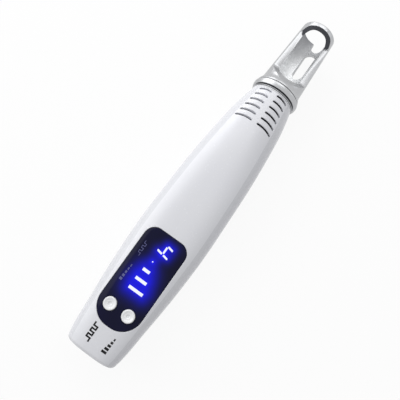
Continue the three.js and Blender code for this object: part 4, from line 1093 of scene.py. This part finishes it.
guard = {
    "start": 165.3, "end": 210.4, "foot": 13.4, "footStep": 1.1, "footDrop": 0.25,
    "footRounds": (0.35, 0.5), "footLength": 3.7, "tail": 11.9, "tailRound": 1.4,
    "tip": 10.05, "wall": 1.5, "tipRound": 0.7, "boreRound": 0.3,
    "threadStart": 157.6, "thread": 9.0, "threadRound": 0.2, "threadBore": 7.7,
    "seatStart": 165.7, "seat": 6.7, "boreStart": 167.2, "sides": 160,
    "flatHeight": 4.75, "millTurn": 4, "scoopInset": 3, "scoopLength": 7.9, "scoopRound": 1.6,
    "scoopSteps": 8,
    "archInset": 2.6, "archBevel": 1.0, "archLean": 0.34, "archSweep": 4.2, "sweepHeight": 3.4,
    "archNear": 0.12, "coneIn": 0.6, "coneOut": 0.2, "coneSpread": 3, "coneSides": 128,
    "windowStart": 184, "windowEnd": 203.1, "windowWidth": 6.5, "windowTurn": 157,
    "notchStart": 205, "notchEnd": 219, "notchWidth": 7, "notchTurn": 155,
    "slotHeights": (2, 14), "slotSteps": 16,
    "edgeBevel": 0.14, "edgeAngle": 38,
    "overrun": 2          # how far the cutters reach past the tube
}
guardBore = guard["tip"] - guard["wall"]


def turnRound(obj, degrees):
    # Turns a finished cutter round the pen's axis, away from the display side
    makeActive(obj)
    turn = Matrix.Translation(spot(0, 0, 0)) @ Matrix.Rotation(math.radians(degrees), 4, "X")
    obj.data.transform(turn @ Matrix.Translation(-spot(0, 0, 0)))


def guardSlot(names):
    # names are those of where it starts and ends, of its width and its turn
    low, high, width, degrees = pick(guard, names)
    cutter = ringBody("guard_slot", [
        stadiumRing((low + high) / 2, 0, high - low, width, height, guard["slotSteps"])
        for height in guard["slotHeights"]
    ])
    turnRound(cutter, degrees)
    return cutter


def archPlace(y, z):
    # Where the arch's bevel lies: a leaning cone that sweeps tailwards near the flats
    slope = guard["archBevel"] / guard["wall"]
    cone = guard["end"] - guard["archInset"] + guard["archLean"] * (z - guard["tip"])
    cone += slope * (math.hypot(y, z) - guard["tip"])
    share = min(max((z - guard["flatHeight"]) / guard["sweepHeight"], 0), 1)
    return cone - guard["archSweep"] * (1 - share) ** 2


def onArch(point):
    turn = Matrix.Rotation(math.radians(-guard["millTurn"]), 3, "X")
    x, y, z = turn @ inMillimetres(point)
    return abs(x - archPlace(y, z)) < guard["archNear"]


def guardOpening():
    # A block in the shape of the milled opening, less the cone that leaves the arch at the tip
    tail, tip, flat, length, overrun = pick(guard, "tail tip flatHeight scoopLength overrun")
    side, end = guard["foot"] + overrun, guard["end"] + overrun
    scoopStart = guard["start"] + guard["scoopInset"]
    profile = rounded([
        (scoopStart - length / (tail - flat) * (side - tail), side),
        (scoopStart + length, flat, guard["scoopRound"]), (end, flat), (end, side)
    ], guard["scoopSteps"])
    rings = [[spot(p.x, y, p.y) for p in profile] for y in (-side, side)]
    block = ringBody("guard_block", rings)
    # the cone's front rings are turned one apart, then each point moves to its place on the bevel
    coneIn, coneOut, spread = pick(guard, "coneIn coneOut coneSpread")
    radii = (0, guardBore - coneIn, guardBore, (guardBore + tip) / 2, tip + coneOut, tip + spread)
    reach = end + len(radii)
    cone = turnedAlong("guard_cone", [
        *((end + k, radius) for k, radius in enumerate(radii)), (reach, radii[-1]), (reach, 0)
    ], guard["coneSides"])
    for vertex in cone.data.vertices:
        x, y, z = inMillimetres(vertex.co)
        if x < reach - 0.5:
            vertex.co.x = spot(archPlace(y, z), 0, 0).x
    cutAway(block, cone)
    turnRound(block, guard["millTurn"])
    return block


def guardTube():
    start, end, foot, footRounds = pick(guard, "start end foot footRounds")
    threadStart, thread, threadBore = pick(guard, "threadStart thread threadBore")
    seatStart, seat, boreStart = pick(guard, "seatStart seat boreStart")
    return turnedAlong("guard_tube", [
        (threadStart, threadBore), (threadStart, thread, guard["threadRound"]), (start, thread),
        (start, foot, footRounds[0]), (start + guard["footStep"], foot - guard["footDrop"], footRounds[1]),
        (start + guard["footLength"], guard["tail"], guard["tailRound"]),
        (end, guard["tip"], guard["tipRound"]), (end, guardBore, guard["boreRound"]),
        (boreStart, guardBore), (boreStart, seat), (seatStart, seat), (seatStart, threadBore)
    ], guard["sides"], closed=True)


guardPiece = guardTube()
cutAway(guardPiece, guardOpening())
cutAway(guardPiece, guardSlot("windowStart windowEnd windowWidth windowTurn"))
cutAway(guardPiece, guardSlot("notchStart notchEnd notchWidth notchTurn"))
applyModifier(
    guardPiece, "BEVEL", width=guard["edgeBevel"] * mm, segments=2, limit_method="ANGLE",
    angle_limit=math.radians(guard["edgeAngle"]), use_clamp_overlap=True
)
finishPiece(guardPiece, "casing", looks["polishedAluminium"], ["spacer_guard"])
guardPiece.data.materials.append(looks["shadedAluminium"])
guardPiece.data.materials.append(looks["shadedBoreAluminium"])
boreReach = guardBore * mm + 2 * nearly
for face in guardPiece.data.polygons:
    corners = cornersOf(guardPiece, face)
    # painted shade and dark reflection on the arch's bevel
    if all(onArch(corner) for corner in corners):
        face.material_index = 1
    # the bore, with painted shade towards the tip
    elif all(math.hypot(corner.y, corner.z - axisHeight) < boreReach for corner in corners):
        face.material_index = 2
print("nose ready")

# Finishes of the pieces inside, which keep their shapes
nodeLooks = {
    "solderMask": ["main_board", "driver_board", "trigger_board"],
    "mouldedPbt": [
        "display_module", "frequency_switch", "intensity_switch", "trigger_switch", "fan_frame", "fan_rotor"
    ],
    "lacqueredAbs": ["frequency_plunger", "intensity_plunger", "trigger_plunger"],
    "sinteredFerrite": ["driver_inductor"],
    "shrunkPvc": ["driver_capacitor"],
    "ribbonPvc": ["link_ribbon"],
    "redPvc": ["jack_lead_red", "laser_lead_red", "fan_lead"],
    "blackPvc": ["jack_lead_black", "laser_lead_black", "trigger_lead"],
    "satinAluminium": ["laser_barrel"],
    "platedNickel": ["laser_diode"],
    "coatedGlass": ["focus_lens", "protective_glass"],
    "turnedBrass": ["lens_retainer"],
    "extrudedAluminium": ["heat_sink"],
    "platedSteel": [
        "board_screw_1", "board_screw_2", "driver_screw_1", "driver_screw_2", "trigger_screw_1",
        "trigger_screw_2"
    ]
}
for lookName, nodeNames in nodeLooks.items():
    for nodeName in nodeNames:
        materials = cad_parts[nodeName].data.materials
        materials.clear()
        materials.append(looks[lookName])
print("inner pieces ready")

stage = {
    "floorSize": 3, "floorDrop": 0.05, "floorColour": "#fcfcfc", "fibre": 60, "floorRough": (0.85, 0.95),
    "ownLight": 0.9,      # share of the floor's own white, which the eye sees
    "worldStrength": 0.462
}


def seenDirectly(owner):
    # 1 where a ray comes from the camera, or by way of metal or glass
    path = addNode(owner, "ShaderNodeLightPath")
    direct = addNode(owner, "ShaderNodeMath", {"operation": "MAXIMUM"}, {
        0: path.outputs["Is Camera Ray"], 1: path.outputs["Is Transmission Ray"]
    })
    return addNode(owner, "ShaderNodeMath", {"operation": "MAXIMUM"}, {
        0: direct.outputs[0], 1: path.outputs["Is Glossy Ray"]
    }).outputs[0]


def floorMaterial():
    # Matt white paper sweep, lit evenly to the eye but with part of the shadow on it
    material, place = newMaterial("mattPaper")
    rough = between(material, softNoise(material, place, stage["fibre"]), *stage["floorRough"])
    paper = addNode(material, "ShaderNodeBsdfPrincipled", {
        "Base Color": linearColour(stage["floorColour"]), "Specular IOR Level": 0
    }, {"Roughness": rough})
    glow = addNode(material, "ShaderNodeEmission", {"Strength": 1})
    share = addNode(material, "ShaderNodeMath", {"operation": "MULTIPLY", 1: stage["ownLight"]}, {
        0: seenDirectly(material)
    })
    mixed = addNode(material, "ShaderNodeMixShader", links={
        0: share.outputs[0], 1: paper.outputs[0], 2: glow.outputs[0]
    })
    # from below the floor is clear, so that the belly can be looked at
    clear = addNode(material, "ShaderNodeBsdfTransparent")
    under = addNode(material, "ShaderNodeNewGeometry").outputs["Backfacing"]
    sided = addNode(material, "ShaderNodeMixShader", links={
        0: under, 1: mixed.outputs[0], 2: clear.outputs[0]
    })
    return closeMaterial(material, sided)


deselectAll()
bpy.ops.mesh.primitive_plane_add(size=stage["floorSize"], location=(0, 0, -stage["floorDrop"] * mm))
floor = bpy.context.object
floor.name = "floor"
floor.data.materials.append(floorMaterial())

world = bpy.data.worlds.new("studio")
bpy.context.scene.world = world
world.use_nodes = True
world.node_tree.nodes.clear()
white = linearColour("#ffffff")
lighting = addNode(world, "ShaderNodeBackground", {"Color": white, "Strength": stage["worldStrength"]})
backdrop = addNode(world, "ShaderNodeBackground", {"Color": white, "Strength": 1})
sky = addNode(world, "ShaderNodeMixShader", links={
    0: seenDirectly(world), 1: lighting.outputs[0], 2: backdrop.outputs[0]
})
addNode(world, "ShaderNodeOutputWorld", links={"Surface": sky.outputs[0]})

lamps = [
    # name, place in metres, size, power in watts, colour
    ("keyLamp", (0.05, 0.72, 0.42), 0.9, 3.8, "#ffffff"),
    ("sideLamp", (0.53, 0.57, 0.32), 0.42, 1.2, "#ffffff"),
    ("tipLamp", (0.42, 0.06, 0.5), 0.4, 0.8, "#ffffff"),
    ("edgeLamp", (0.42, -0.44, 0.23), 0.2, 0.08, "#f2f5ff")
]
for name, place, size, power, colour in lamps:
    data = bpy.data.lights.new(name, "AREA")
    data.size = size
    data.energy = power
    data.color = linearColour(colour)[:3]
    lamp = bpy.data.objects.new(name, data)
    bpy.context.scene.collection.objects.link(lamp)
    lamp.location = place
    lamp.rotation_euler = (-Vector(place)).to_track_quat("-Z", "Y").to_euler()

# The place that the camera looks at and its distance in metres, the lens and sensor in millimetres
view = {
    "target": (-0.0132, 0, 0.0151), "distance": 0.21, "tilt": 10, "lean": 3.5, "turn": 35.733,
    "lens": 36, "sensor": 36, "clipStart": 0.01
}
tilt, lean, turn = (math.radians(angle) for angle in pick(view, "tilt lean turn"))
back = Vector((-math.sin(tilt), -math.sin(lean) * math.cos(tilt), math.cos(lean) * math.cos(tilt)))
along = (Vector((1, 0, 0)) - back * back.x).normalized()
across = (-back).cross(along)
cameraUp = along * math.cos(turn) - across * math.sin(turn)
cameraRight = across * math.cos(turn) + along * math.sin(turn)
cameraData = bpy.data.cameras.new("camera")
cameraData.lens = view["lens"]
cameraData.sensor_width = view["sensor"]
cameraData.clip_start = view["clipStart"]
camera = bpy.data.objects.new("camera", cameraData)
bpy.context.scene.collection.objects.link(camera)
facing = Matrix((cameraRight, cameraUp, back)).transposed().to_4x4()
camera.matrix_world = Matrix.Translation(Vector(view["target"]) + back * view["distance"]) @ facing
bpy.context.scene.camera = camera
bpy.context.scene.view_settings.view_transform = "Standard"
print("stage ready")
